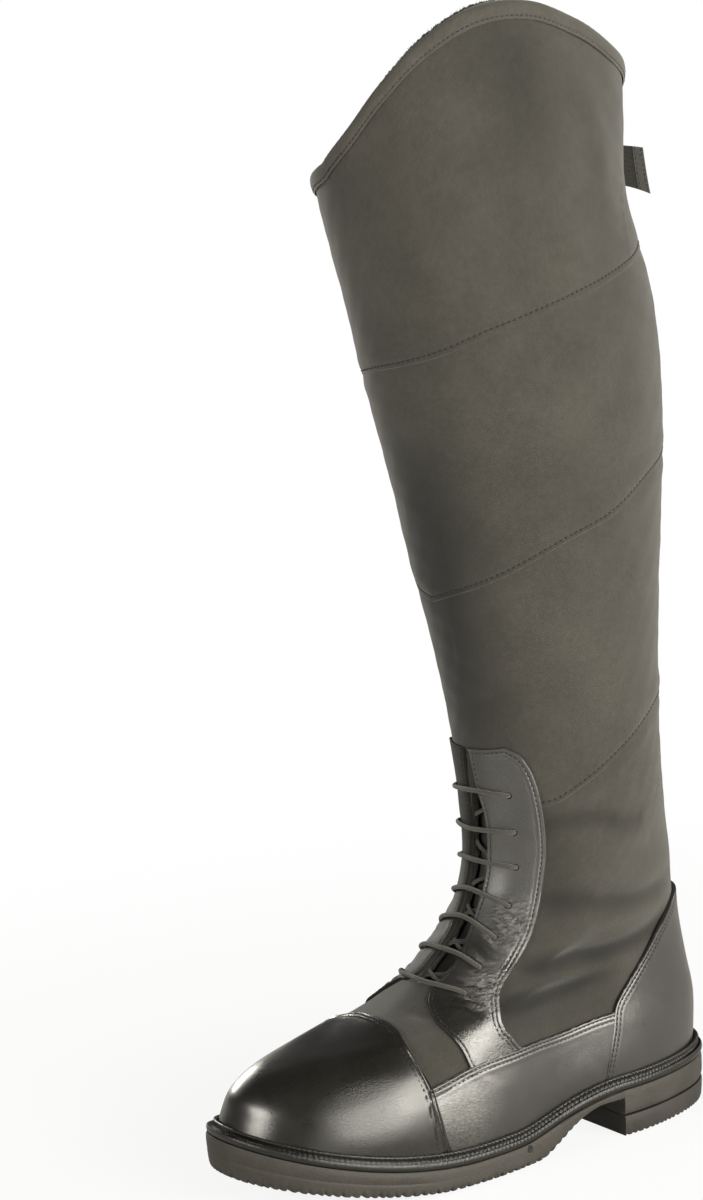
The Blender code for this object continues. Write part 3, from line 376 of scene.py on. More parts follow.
def graded(length, fine, coarse, places, slope=0.22):
    """Steps across a length in mm, fine next to some places and coarse between them."""
    x = np.linspace(0, length, 3001)
    d = np.min(np.abs(x[:, None] - np.asarray(places, float)[None, :]), axis=1)
    density = 1.0 / np.minimum(coarse, fine + slope * d)
    run = np.concatenate([[0.0], np.cumsum(0.5 * (density[1:] + density[:-1]) * np.diff(x))])
    n = max(2, int(round(run[-1])))
    return np.interp(np.linspace(0, run[-1], n + 1), run, x) / length


def along(edge, at):
    """Points of a (u, v) edge given by a few, at shares of its length."""
    edge = np.asarray(edge, float)
    step = np.hypot(np.diff(edge[:, 0]) * 300, np.diff(edge[:, 1]) * RUN)
    run = np.concatenate([[0.0], np.cumsum(step)])
    return through(run / run[-1], edge, at)


def patch(bottom, top, left, right, rows, cols):
    """(u, v) grid inside four edges; rows and cols are shares of the way."""
    b, t = along(bottom, cols)[None], along(top, cols)[None]
    l, r = along(left, rows)[:, None], along(right, rows)[:, None]
    x, y = cols[None, :, None], rows[:, None, None]
    g = (b * (1 - y) + t * y + l * (1 - x) + r * x
         - (l[0] * (1 - x) + r[0] * x) * (1 - y) - (l[-1] * (1 - x) + r[-1] * x) * y)
    return g[..., 0], g[..., 1]


def nearest(points, line):
    """Distance of each point to a line given by many points, and the share of the way."""
    p, b = points.reshape(-1, 3), np.asarray(line, float)
    d, at = np.empty(len(p)), np.empty(len(p), int)
    bb = np.sum(b * b, 1)
    for s in range(0, len(p), 8000):
        q = p[s:s + 8000]
        m = bb[None, :] - 2.0 * q @ b.T
        at[s:s + 8000] = np.argmin(m, 1)
        d[s:s + 8000] = np.sqrt(np.maximum(np.min(m, 1) + np.sum(q * q, 1), 0.0))
    shape = points.shape[:-1]
    return d.reshape(shape), (at / (len(b) - 1.0)).reshape(shape)


def line(edge, count=None, off=0.0):
    """Points on the upper along a (u, v) edge, about 0.4 mm apart."""
    edge = np.asarray(edge, float)
    if count is None:
        count = int(np.sum(np.hypot(np.diff(edge[:, 0]) * 330, np.diff(edge[:, 1]) * RUN)) / 0.4) + 2
    w = along(edge, np.linspace(0, 1, count))
    return upper_point(w[:, 0], w[:, 1], off)


def inset(edge, by, side=1.0):
    """The (u, v) edge moved across the upper by some mm, to its left as it runs (side 1)."""
    edge = np.asarray(edge, float)
    u, v = edge.T
    e = 5e-4
    pu = (upper_point(u + e, v) - upper_point(u - e, v)) / (2 * e)
    lo, hi = np.maximum(v - e, 0), v + e
    pv = (upper_point(u, hi) - upper_point(u, lo)) / (hi - lo)[:, None]
    p = upper_point(u, v)
    t = np.gradient(p, axis=0)
    n = np.cross(pu, pv)
    n /= np.linalg.norm(n, axis=1)[:, None]
    d = np.cross(n, t)
    d *= (by * side) / np.linalg.norm(d, axis=1)[:, None]
    a11, a12, a22 = np.sum(pu * pu, 1), np.sum(pu * pv, 1), np.sum(pv * pv, 1)
    b1, b2 = np.sum(pu * d, 1), np.sum(pv * d, 1)
    det = a11 * a22 - a12 * a12
    return np.stack([u + (a22 * b1 - a12 * b2) / det, v + (a11 * b2 - a12 * b1) / det], 1)


def spread_uv(points):
    """Corner coordinates in mm for a grid: way along its rows and its columns."""
    a = np.concatenate([np.zeros((points.shape[0], 1)), np.cumsum(np.linalg.norm(np.diff(points, axis=1), axis=2), axis=1)], 1)
    b = np.concatenate([np.zeros((1, points.shape[1])), np.cumsum(np.linalg.norm(np.diff(points, axis=0), axis=2), axis=0)], 0)
    a = a - a[:, a.shape[1] // 2][:, None]
    return np.stack([a, b], 2)


def folds(points, rows):
    """Sum of troughs (depth < 0) and ridges over a grid of points.  Each row:
    (u, v) way, half width in mm, depth in mm."""
    total = np.zeros(points.shape[:-1])
    for way, width, depth in rows:
        d, t = nearest(points, line(way))
        fade = np.clip(np.sin(pi * np.clip(t, 0.0, 1.0)), 0, 1) ** 0.6
        x = (d / width) ** 2
        total += depth * (1 - 0.45 * x) * np.exp(-x) * fade
    return total


def ripple(u, v, size=1.0, seed=0.0):
    """Slow unevenness of cloth or leather, in mm."""
    total = np.zeros(np.broadcast(u, v).shape)
    for m, f, a, phase in ((1, 3.1, 0.30, 0.4), (2, 5.3, 0.26, 2.1), (3, 2.2, 0.22, 4.0), (4, 8.7, 0.16, 1.3),
                           (6, 6.1, 0.12, 5.2), (5, 13.3, 0.10, 3.3), (9, 10.9, 0.07, 0.9), (12, 17.0, 0.05, 2.7)):
        total += a * np.sin(2 * pi * (m * u + f * v) + phase + seed)
    return size * total


STITCH_SIDES = 6


def stitch_mesh(paths, pitch, length, radius, lift=0.0):
    """Stitches along ways.  Each way is its points and the surface normals there."""
    verts, faces = [], []
    shape = ((-0.5, 0.45, -0.9), (-0.36, 0.9, -0.25), (0.0, 1.0, 0.0), (0.36, 0.9, -0.25), (0.5, 0.45, -0.9))
    a = 2 * pi * np.arange(STITCH_SIDES) / STITCH_SIDES
    count = 0
    for p, n in paths:
        run = np.concatenate([[0.0], np.cumsum(np.linalg.norm(np.diff(p, axis=0), axis=1))])
        k = int(run[-1] / pitch)
        if k < 1:
            continue
        s = (np.arange(k) + 0.5) * run[-1] / k
        at = lambda x, y: np.stack([np.interp(x, run, y[:, c]) for c in range(3)], 1)
        centre, normal = at(s, p), at(s, n)
        tangent = at(np.minimum(s + 0.4, run[-1]), p) - at(np.maximum(s - 0.4, 0), p)
        tangent /= np.linalg.norm(tangent, axis=1)[:, None]
        normal -= tangent * np.sum(normal * tangent, 1)[:, None]
        normal /= np.linalg.norm(normal, axis=1)[:, None]
        across = np.cross(normal, tangent)
        rings = []
        for x, r, z in shape:
            c = centre + tangent * (x * length) + normal * (lift + z * radius)
            rings.append(c[:, None] + radius * r * (across[:, None] * np.cos(a)[None, :, None] + normal[:, None] * np.sin(a)[None, :, None]))
        block = np.stack(rings, 1).reshape(k, -1, 3)
        one = []
        m = STITCH_SIDES
        for i in range(len(shape) - 1):
            for j in range(m):
                one.append([i * m + j, i * m + (j + 1) % m, (i + 1) * m + (j + 1) % m, (i + 1) * m + j])
        ends = [list(reversed(range(m))), [(len(shape) - 1) * m + j for j in range(m)]]
        for q in range(k):
            o = count + q * len(shape) * m
            faces.extend([[o + x for x in f] for f in one + ends])
        verts.append(block.reshape(-1, 3))
        count += k * len(shape) * m
    return np.concatenate(verts), faces


def way_on(edge, off, count=None):
    """Points and normals along a (u, v) edge at a height over the upper."""
    edge = np.asarray(edge, float)
    if count is None:
        count = int(np.sum(np.hypot(np.diff(edge[:, 0]) * 330, np.diff(edge[:, 1]) * RUN)) / 0.8) + 3
    w = along(edge, np.linspace(0, 1, count))
    p, q = upper_point(w[:, 0], w[:, 1], off), upper_point(w[:, 0], w[:, 1], off + 1.0)
    return p, q - p


def stitches(name, edges, off, mat, pitch=2.6, length=2.1, radius=0.27, **more):
    verts, faces = stitch_mesh([way_on(e, off) for e in edges], pitch, length, radius)
    return make(name, verts, [faces], mat, angle=80, **more)


def tube(name, path, radius, mat, sides=12, **more):
    path = np.asarray(path, float)
    t = np.gradient(path, axis=0)
    t /= np.linalg.norm(t, axis=1)[:, None]
    across = np.empty_like(path)
    a = np.cross(t[0], [0.3, 0.2, 1.0])
    for i in range(len(path)):                     # carried along, so that it doesn't twist
        a = a - t[i] * (a @ t[i])
        a /= np.linalg.norm(a)
        across[i] = a
    other = np.cross(t, across)
    r = np.broadcast_to(radius, len(path))[:, None, None]
    ang = 2 * pi * np.arange(sides) / sides
    pts = path[:, None] + r * (across[:, None] * np.cos(ang)[None, :, None] + other[:, None] * np.sin(ang)[None, :, None])
    return sweep(name, pts, mat, closed=False, **more)


def join(name, objs, node=None):
    """One piece from several that touch."""
    bpy.ops.object.select_all(action="DESELECT")
    for o in objs:
        o.select_set(True)
    bpy.context.view_layer.objects.active = objs[0]
    bpy.ops.object.join()
    objs[0].name = name
    objs[0].data.name = name
    if node:
        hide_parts(node)
    return objs[0]


# ------------------------------------------------------------------ materials
class Net:
    """A node material, made link by link."""

    def __init__(self, name, rough=0.5, **sockets):
        self.mat = bpy.data.materials.new(name)
        self.mat.use_nodes = True
        self.tree = self.mat.node_tree
        self.shader = self.tree.nodes["Principled BSDF"]
        self.shader.inputs["Roughness"].default_value = rough
        for key, value in sockets.items():
            self.shader.inputs[key.replace("_", " ")].default_value = value

    def node(self, kind, inputs=None, **settings):
        n = self.tree.nodes.new(kind)
        for key, value in settings.items():
            setattr(n, key, value)
        for key, value in (inputs or {}).items():
            if isinstance(value, bpy.types.NodeSocket):
                self.tree.links.new(value, n.inputs[key])
            else:
                n.inputs[key].default_value = value
        return n

    def math(self, operation, a, b=0.0):
        return self.node("ShaderNodeMath", {0: a, 1: b}, operation=operation).outputs[0]

    def place(self, scale=(1000.0, 1000.0, 1000.0)):
        """Place on the object, in mm unless scaled otherwise."""
        c = self.node("ShaderNodeTexCoord")
        return self.node("ShaderNodeMapping", {"Vector": c.outputs["Object"], "Scale": scale}).outputs[0]

    def cloth(self):
        """Place along the cloth, in mm."""
        c = self.node("ShaderNodeUVMap", uv_map="cloth")
        return self.node("ShaderNodeMapping", {"Vector": c.outputs[0], "Scale": (100.0, 100.0, 100.0)}).outputs[0]

    def noise(self, at, size, detail=3.0, rough=0.55):
        return self.node("ShaderNodeTexNoise", {"Vector": at, "Scale": 1.0 / size, "Detail": detail, "Roughness": rough}).outputs[0]

    def ramp(self, value, *stops):
        n = self.node("ShaderNodeValToRGB", {"Fac": value})
        e = n.color_ramp.elements
        while len(e) < len(stops):
            e.new(0.5)
        for k, (at, colour) in enumerate(stops):
            e[k].position = at
            e[k].color = (*colour, 1.0) if len(colour) == 3 else colour
        return n.outputs[0]

    def range(self, value, a, b, c, d):
        return self.node("ShaderNodeMapRange", {0: value, 1: a, 2: b, 3: c, 4: d}).outputs[0]

    def mix(self, fac, a, b, blend="MIX"):
        n = self.node("ShaderNodeMix", data_type="RGBA", blend_type=blend)
        for key, value in ((0, fac), (6, a), (7, b)):
            if isinstance(value, bpy.types.NodeSocket):
                self.tree.links.new(value, n.inputs[key])
            else:
                n.inputs[key].default_value = value if key == 0 else (*value, 1.0)
        return n.outputs[2]

    def bump(self, height, distance, strength=1.0, under=None):
        inputs = {"Height": height, "Distance": distance * MM, "Strength": strength}
        if under is not None:
            inputs["Normal"] = under
        return self.node("ShaderNodeBump", inputs).outputs[0]

    def finish(self, colour=None, rough=None, normal=None):
        for key, value in (("Base Color", colour), ("Roughness", rough), ("Normal", normal)):
            if value is None:
                continue
            if isinstance(value, bpy.types.NodeSocket):
                self.tree.links.new(value, self.shader.inputs[key])
            else:
                self.shader.inputs[key].default_value = (*value, 1.0) if key == "Base Color" else value
        return self.mat


def twill(name, dark, light, pitch=0.95, slant=1.0, depth=0.09, rough=0.85, shaded=False):
    """Close twill: fine slanting ridges of yarn, a little uneven in tone."""
    n = Net(name, rough, Sheen_Weight=0.25, Sheen_Roughness=0.5, Specular_IOR_Level=0.25)
    at = n.cloth()
    turn = 1.0 / (pitch * (1 + slant * slant) ** 0.5)
    wobble = n.noise(at, 2.2, 2.0)
    sep = n.node("ShaderNodeSeparateXYZ", {0: at})
    x, y = sep.outputs[0], sep.outputs[1]
    way = n.math("ADD", n.math("MULTIPLY", x, slant * turn), n.math("MULTIPLY", y, turn))
    way = n.math("ADD", way, n.math("MULTIPLY", wobble, 0.35))
    ridge = n.math("SINE", n.math("MULTIPLY", way, 2 * pi))
    yarn = n.math("SINE", n.math("MULTIPLY", n.math("SUBTRACT", n.math("MULTIPLY", x, 1.7), n.math("MULTIPLY", y, 0.5)), 2 * pi))
    height = n.math("ADD", ridge, n.math("MULTIPLY", yarn, 0.35))
    grain = n.noise(at, 0.7, 3.0, 0.7)
    patch_tone = n.noise(n.place(), 34.0, 4.0, 0.6)
    speck = n.noise(at, 3.2, 4.0, 0.7)
    tone = n.math("ADD", n.range(height, -1.3, 1.3, 0.0, 0.15), n.math("MULTIPLY", grain, 0.36))
    tone = n.math("ADD", tone, n.range(speck, 0.3, 0.7, -0.06, 0.16))
    tone = n.math("ADD", tone, n.range(patch_tone, 0.3, 0.7, -0.08, 0.20))
    colour = n.ramp(tone, (0.0, dark), (1.0, light))
    if shaded:                                  # painted shade: the cloth is painted darker down in its folds and on its shaded sides, by a per-point amount
        painted_shade_amount = n.node("ShaderNodeAttribute", attribute_name="painted_shade").outputs["Fac"]
        colour = n.mix(painted_shade_amount, colour, tuple(0.30 * c for c in dark))
    normal = n.bump(n.math("ADD", n.math("MULTIPLY", height, 0.25), grain), depth, 0.8)
    return n.finish(colour, n.range(grain, 0.2, 0.8, rough - 0.08, rough + 0.06), normal)


def leather(name, colour, rough=0.30, grain=0.05, pebble=0.9, crease=0.0, coat=0.25, worn=(0.05, 0.046, 0.038), spec=0.55,
            coat_rough=0.22, matt_above=None, bends=(), wear=0.12, painted_glint=0.0):
    """Finished grain leather: pebbled cells, fine hair-cell lines and a patchy shine."""
    n = Net(name, rough, Coat_Weight=coat, Coat_Roughness=coat_rough, Specular_IOR_Level=spec)
    at = n.place()
    bend = n.node("ShaderNodeVectorMath", {0: at, 1: n.node("ShaderNodeTexNoise", {"Vector": at, "Scale": 0.5, "Detail": 2.0}).outputs[1]},
                  operation="ADD").outputs[0]
    cells = n.node("ShaderNodeTexVoronoi", {"Vector": bend, "Scale": 1.0 / pebble, "Randomness": 1.0}, feature="DISTANCE_TO_EDGE").outputs[0]
    pits = n.noise(at, 0.55, 3.0, 0.6)
    slow = n.noise(at, 14.0, 4.0, 0.6)
    height = n.math("ADD", n.range(cells, 0.0, 0.35, 0.0, 1.0), n.math("MULTIPLY", pits, 0.5))
    normal = n.bump(height, grain, 0.9)
    if crease:
        long_lines = n.node("ShaderNodeMapping", {"Vector": at, "Rotation": (0.5, 0.2, 0.7), "Scale": (0.9, 0.22, 0.35)}).outputs[0]
        normal = n.bump(n.noise(long_lines, 1.6, 5.0, 0.6), crease, 0.7, normal)
    normal = n.bump(slow, 0.35, 0.35, normal)
    gloss = glint = None
    for x, y, z, reach, turn, much in bends:    # crinkled where the boot bends: place in mm, how far, slant, depth
        far = n.node("ShaderNodeVectorMath", {0: at, 1: (x, y, z)}, operation="DISTANCE").outputs["Value"]
        here = n.range(far, reach * 0.35, reach, 1.0, 0.0)
        lines = n.node("ShaderNodeMapping", {"Vector": at, "Rotation": (turn, 0.0, 0.0), "Scale": (0.5, 0.28, 1.0)}).outputs[0]
        wrinkle = n.noise(lines, 1.5 if much > 0.5 else 0.55, 4.0, 0.65)
        normal = n.bump(n.math("MULTIPLY", wrinkle, here), much, 1.0, normal)
        # painted highlight: how pale each wrinkle is painted
        bright = n.math("MULTIPLY", here, n.range(wrinkle, 0.44, 0.62, 0.08, 1.0))
        shiny = n.range(far, reach * 0.2, reach * 0.75, 1.0, 0.0)
        gloss = shiny if gloss is None else n.math("MAXIMUM", gloss, shiny)
        glint = bright if glint is None else n.math("MAXIMUM", glint, bright)
    tone = n.ramp(n.math("ADD", n.math("MULTIPLY", slow, 0.7), n.math("MULTIPLY", pits, 0.3)),
                  (0.35, tuple(c * 0.8 for c in colour)), (0.72, tuple(c * 1.25 for c in colour)))
    edge_wear = n.node("ShaderNodeNewGeometry").outputs["Pointiness"]
    tone = n.mix(n.range(edge_wear, 0.515, 0.56, 0.0, wear), tone, worn)
    if painted_glint:                                  # painted highlight: paler glints along the wrinkles where it bends
        tone = n.mix(n.math("MULTIPLY", glint, painted_glint), tone, (0.200, 0.197, 0.182))
    shine = n.range(n.math("ADD", n.math("MULTIPLY", slow, 0.7), n.math("MULTIPLY", pits, 0.4)), 0.35, 0.75, rough - 0.05, rough + 0.09)
    if matt_above:
        low, high, much = matt_above            # the finish dulls going up: heights in mm, and by how much
        up = n.node("ShaderNodeSeparateXYZ", {0: at}).outputs[2]
        dull = n.range(up, low, high, 0.0, much)
        if gloss is not None:                   # but glossier where it bends
            dull = n.math("MULTIPLY", dull, n.math("SUBTRACT", 1.0, gloss))
        shine = n.math("ADD", shine, dull)
    return n.finish(tone, shine, normal)


def rubber(name, colour, rough=0.62):
    """Moulded rubber with a fine matt skin and faint dust."""
    n = Net(name, rough, Specular_IOR_Level=0.4)
    at = n.place()
    fine, slow = n.noise(at, 0.9, 4.0, 0.7), n.noise(at, 18.0, 4.0, 0.6)
    tone = n.ramp(n.math("ADD", n.math("MULTIPLY", fine, 0.55), n.math("MULTIPLY", slow, 0.45)),
                  (0.36, tuple(c * 0.60 for c in colour)), (0.66, tuple(c * 1.30 for c in colour)))
    scuff = n.range(n.noise(n.place((400.0, 400.0, 2200.0)), 6.0, 6.0, 0.7), 0.60, 0.78, 0.0, 0.35)
    tone = n.mix(scuff, tone, tuple(min(1.0, c * 1.9) for c in colour))
    return n.finish(tone, n.range(slow, 0.3, 0.7, rough - 0.08, rough + 0.08), n.bump(fine, 0.26, 0.9))


def pile(name, colour):
    """Short curled fleece."""
    n = Net(name, 0.95, Sheen_Weight=0.4, Sheen_Roughness=0.6, Specular_IOR_Level=0.1)
    at = n.place()
    curl = n.noise(at, 1.1, 5.0, 0.75)
    clump = n.node("ShaderNodeTexVoronoi", {"Vector": at, "Scale": 0.42}).outputs[0]
    tone = n.ramp(n.math("ADD", n.math("MULTIPLY", curl, 0.6), n.math("MULTIPLY", clump, 0.3)),
                  (0.25, tuple(c * 0.45 for c in colour)), (0.75, tuple(c * 1.6 for c in colour)))
    return n.finish(tone, None, n.bump(n.math("SUBTRACT", curl, n.math("MULTIPLY", clump, 0.5)), 0.8, 1.0))


def yarn(name, colour, pitch=1.0, rough=0.7, depth=0.18):
    """Braided or twisted cord, its strands lying on a slant."""
    n = Net(name, rough, Sheen_Weight=0.3, Specular_IOR_Level=0.35)
    at = n.cloth()
    sep = n.node("ShaderNodeSeparateXYZ", {0: at})
    x, y = sep.outputs[0], sep.outputs[1]
    a = n.math("SINE", n.math("MULTIPLY", n.math("ADD", n.math("MULTIPLY", x, 1 / pitch), n.math("MULTIPLY", y, 0.55)), 2 * pi))
    b = n.math("SINE", n.math("MULTIPLY", n.math("SUBTRACT", n.math("MULTIPLY", x, 1 / pitch), n.math("MULTIPLY", y, 0.55)), 2 * pi))
    height = n.math("MAXIMUM", a, b)
    fuzz = n.noise(n.place(), 0.4, 3.0, 0.6)
    tone = n.ramp(n.math("ADD", n.range(height, -1.0, 1.0, 0.1, 0.7), n.math("MULTIPLY", fuzz, 0.3)),
                  (0.0, tuple(c * 0.45 for c in colour)), (1.0, tuple(c * 1.35 for c in colour)))
    return n.finish(tone, None, n.bump(n.math("ADD", height, fuzz), depth, 0.9))


def thread(name, colour, rough=0.5):
    n = Net(name, rough, Specular_IOR_Level=0.5)
    at = n.place()
    fuzz = n.noise(at, 0.25, 3.0, 0.6)
    tone = n.ramp(fuzz, (0.3, tuple(c * 0.6 for c in colour)), (0.7, tuple(c * 1.4 for c in colour)))
    return n.finish(tone, None, n.bump(fuzz, 0.06, 0.8))


def metal(name, colour, rough=0.35):
    n = Net(name, rough, Metallic=1.0)
    at = n.place()
    slow, fine = n.noise(at, 3.0, 4.0, 0.6), n.noise(at, 0.3, 3.0, 0.6)
    tone = n.ramp(slow, (0.3, tuple(c * 0.75 for c in colour)), (0.7, tuple(c * 1.3 for c in colour)))
    return n.finish(tone, n.range(slow, 0.3, 0.7, rough - 0.08, rough + 0.12), n.bump(fine, 0.02, 0.6))


SHAFT = twill("shaft_twill", (0.0165, 0.0154, 0.0126), (0.060, 0.056, 0.0465), shaded=True)
BIND_CLOTH = twill("binding_twill", (0.022, 0.0205, 0.017), (0.078, 0.0725, 0.061), pitch=0.9, depth=0.08)
SMOOTH = leather("toe_leather", (0.0090, 0.0081, 0.0063), rough=0.29, grain=0.018, pebble=0.8, coat=0.35, wear=0.0,
                 bends=((43.0, -84.0, 45.5, 26.0, 0.2, 0.22),))
BENDS = ((31.8, 9.0, 112.0, 15.5, 0.5, 1.9), (38.4, -10.1, 85.2, 14.5, 0.8, 1.5), (-28.0, 10.1, 112.6, 14.0, 0.5, 1.2), (-36.0, -10.1, 85.2, 14.0, 0.8, 1.2))
GRAIN = leather("facing_leather", (0.0110, 0.0101, 0.0082), rough=0.26, grain=0.06, pebble=1.0, crease=0.22, coat=0.15, spec=0.95,
                matt_above=(78.0, 118.0, 0.24), bends=BENDS, painted_glint=0.46)
# shaded copy of the facing leather for the inner side: made matt, with little specular and no coat, to stand in for
# shade there
GRAIN_SHADED = leather("inner_facing_shaded_leather", (0.0125, 0.0115, 0.0093), rough=0.56, grain=0.06, pebble=1.0, crease=0.22, coat=0.0, spec=0.13)
BODY_HIDE = leather("quarter_leather", (0.0092, 0.0084, 0.0071), rough=0.31, grain=0.035, pebble=0.9, spec=1.0, wear=0.03,
                    bends=((51.5, -38.0, 39.0, 26.0, 0.3, 0.17),), painted_glint=0.46)
SOLE = rubber("sole_rubber", (0.036, 0.0328, 0.0278))
LIFT = rubber("top_lift_rubber", (0.028, 0.0256, 0.0222))
STRIP = leather("welt_strip", (0.0065, 0.0059, 0.0048), rough=0.31, grain=0.05, pebble=0.6, coat=0.0, spec=0.45)
PILE = pile("fleece", (0.016, 0.0155, 0.014))
LACE = yarn("lace_cord", (0.039, 0.0357, 0.0290))
THREAD = thread("dark_thread", (0.0085, 0.0078, 0.0065), 0.65)
THREAD_LIGHT = thread("leather_thread", (0.0070, 0.0064, 0.0053), 0.62)
TAPE = twill("zip_tape", (0.012, 0.0112, 0.010), (0.040, 0.037, 0.032), pitch=0.7)
NYLON = thread("zip_coil", (0.028, 0.026, 0.023), 0.4)
STEEL = metal("zip_metal", (0.085, 0.080, 0.072), 0.42)
WEB = twill("tab_webbing", (0.007, 0.0065, 0.0053), (0.025, 0.0232, 0.0188), pitch=2.2, slant=0.0, depth=0.3, rough=0.7)
HEM = leather("tab_hem", (0.024, 0.0222, 0.0182), rough=0.55, grain=0.06, coat=0.0)
# near-black rubber for the plug: painted shade that makes its shallow dish read as a dark recess
PLUG_RECESS_SHADE = rubber("plug_rubber_recess_shade", (0.007, 0.0065, 0.0056))


# ------------------------------------------------------------------ shaft, vamp and quarters
CLOTH_T = 1.2                       # the cloth itself; the fleece lining fills the wall
# Seams of the shaft, from the ankle up: share of the way from front to back, and v.
SEAM_3 = ((0.000, 0.425), (0.050, 0.422), (0.100, 0.385), (0.138, 0.376), (0.203, 0.381), (0.264, 0.391),
          (0.356, 0.409), (0.420, 0.411), (0.500, 0.412))
SEAM_2 = ((0.000, 0.561), (0.118, 0.579), (0.205, 0.603), (0.264, 0.618), (0.339, 0.648), (0.381, 0.659), (0.500, 0.670))
SEAM_1 = ((0.000, 0.786), (0.050, 0.784), (0.100, 0.783), (0.150, 0.787), (0.210, 0.793), (0.260, 0.802),
          (0.314, 0.816), (0.357, 0.829), (0.405, 0.843), (0.450, 0.852), (0.500, 0.856))
SEAMS = (SEAM_3, SEAM_2, SEAM_1)


def seam_v(k, u):
    u = np.mod(np.asarray(u, float), 1.0)
    return table(SEAMS[k], np.minimum(u, 1.0 - u).ravel())[:, 0].reshape(u.shape)


def height_of(r, u):
    """v of the cloth's row r at u: 0 feather line, 1, 2 and 3 the seams, 4 the top line."""
    level_v = [np.zeros(u.shape), seam_v(0, u), seam_v(1, u), seam_v(2, u), np.ones(u.shape)]
    k = int(min(r, 3.9999))
    return level_v[k] + (level_v[k + 1] - level_v[k]) * (r - k)


HOLE_LOW, HOLE_HIGH = 0.558, 0.936        # rows that end the throat, and start the zip


def cloth_rows(coarse, fine):
    rows = []
    for k, length in enumerate((205.0, 100.0, 96.0, 92.0)):
        places = [length] if k == 0 else [0.0, length]
        if k == 0:
            places += [HOLE_LOW * length, HOLE_HIGH * length]
        s = graded(length, fine, coarse, places, 0.16)
        if k == 0:
            for h in (HOLE_LOW, HOLE_HIGH):
                s[np.argmin(np.abs(s - h))] = h
        rows.extend(list(k + s[:-1]))
    return np.array(rows + [4.0])


def cloth_columns(v, coarse, fine):
    """u of the columns at each v; returns the grid and the hole columns."""
    mid, half = table(THROAT, v).T
    front, back = 0.300 * 330, 0.0
    segs = [np.linspace(0, 1, 5), graded(27.0, fine, coarse, [0.0], 0.16), graded(121.0, fine, coarse, [121.0], 0.16),
            np.linspace(0, 1, 4), graded(131.0, fine, coarse, [0.0], 0.16), graded(23.0, fine, coarse, [23.0], 0.16)]
    o = np.ones_like(mid)
    ends = [mid - half, mid + half, 0.125 * o, (ZIP_U - ZIP_HALF) * o, (ZIP_U + ZIP_HALF) * o, 0.905 * o, 1 + mid - half]
    cols, starts = [], []
    for k, s in enumerate(segs):
        starts.append(sum(len(c) for c in cols))
        cols.append([ends[k] + (ends[k + 1] - ends[k]) * t for t in s[:-1]])
    grid = np.array([c for seg in cols for c in seg]).T
    return grid, starts


# Folds of the cloth: way in (u, v), half width, depth.  Soft and slanting over the ankle,
# where the shaft sinks on to the foot; faint ones higher up.
CLOTH_FOLDS = [
    (((0.110, 0.368), (0.140, 0.362), (0.201, 0.348), (0.276, 0.312), (0.310, 0.300)), 5.5, -1.2),
    (((0.110, 0.354), (0.134, 0.346), (0.219, 0.318), (0.307, 0.277), (0.340, 0.262)), 5.5, 0.7),
    (((0.135, 0.300), (0.159, 0.284), (0.258, 0.230), (0.357, 0.183), (0.430, 0.172)), 5.2, -1.5),
    (((0.140, 0.262), (0.200, 0.235), (0.295, 0.188), (0.364, 0.163), (0.430, 0.158)), 5.0, 0.8),
    (((0.170, 0.204), (0.209, 0.185), (0.274, 0.158), (0.324, 0.131), (0.361, 0.124), (0.410, 0.130)), 4.6, -2.0),
    (((0.190, 0.172), (0.250, 0.148), (0.310, 0.120), (0.345, 0.113)), 3.6, 0.8),
    (((0.190, 0.150), (0.219, 0.139), (0.267, 0.124), (0.303, 0.107), (0.345, 0.098)), 3.8, -0.9),
    (((-0.060, 0.462), (0.000, 0.467), (0.088, 0.470), (0.168, 0.460)), 6.0, -0.8),
    (((0.160, 0.446), (0.230, 0.452), (0.310, 0.438)), 7.0, -0.6),
    (((0.020, 0.520), (0.110, 0.512), (0.190, 0.522)), 8.0, 0.6),
    (((0.150, 0.700), (0.210, 0.640), (0.230, 0.560)), 14.0, -0.7),
    (((0.060, 0.760), (0.100, 0.680), (0.110, 0.600)), 13.0, 0.7),
    (((0.150, 0.990), (0.215, 0.925), (0.235, 0.860)), 13.0, -1.0),
    (((0.085, 0.960), (0.110, 0.880), (0.120, 0.820)), 12.0, 0.7),
    (((0.300, 0.960), (0.330, 0.900), (0.330, 0.860)), 9.0, 0.8),
]
CLOTH_FOLDS += [([(-u - 0.01, v - 0.004) for u, v in way], w, d * 0.9) for way, w, d in CLOTH_FOLDS if way[0][0] > 0.125]
# edge of the flap that closes over the top of the zip
CLOSING = (((0.392, 0.915), (0.377, 0.882), (0.361, 0.850), (0.349, 0.826)), 0.6, 0.8)
VAMP_CREASES = [
    (((0.050, 0.205), (0.085, 0.190), (0.115, 0.172)), 3.2, -0.7),
    (((0.060, 0.228), (0.090, 0.214), (0.110, 0.200)), 2.6, 0.5),
]


def lap(u, v):
    """Height of the seams: the upper panel laps over the lower one and is sewn down."""
    total = np.zeros(np.broadcast(u, v).shape)
    for k in range(3):
        d = (v - seam_v(k, u)) * RUN
        over = np.clip(d / 0.45, 0, 1) * np.exp(-np.maximum(d, 0) / 9.0)
        sewn = -0.42 * np.exp(-((d - 2.1) / 0.9) ** 2) * (d > 0)
        under = -0.24 * np.exp(-(np.minimum(d, 0) / 2.2) ** 2) * (d <= 0)
        puff = 0.45 * np.exp(-((d - 8.0) / 5.0) ** 2) + 0.35 * np.exp(-((d + 7.0) / 4.5) ** 2)
        total += 0.14 * over + sewn + under + puff
    return total


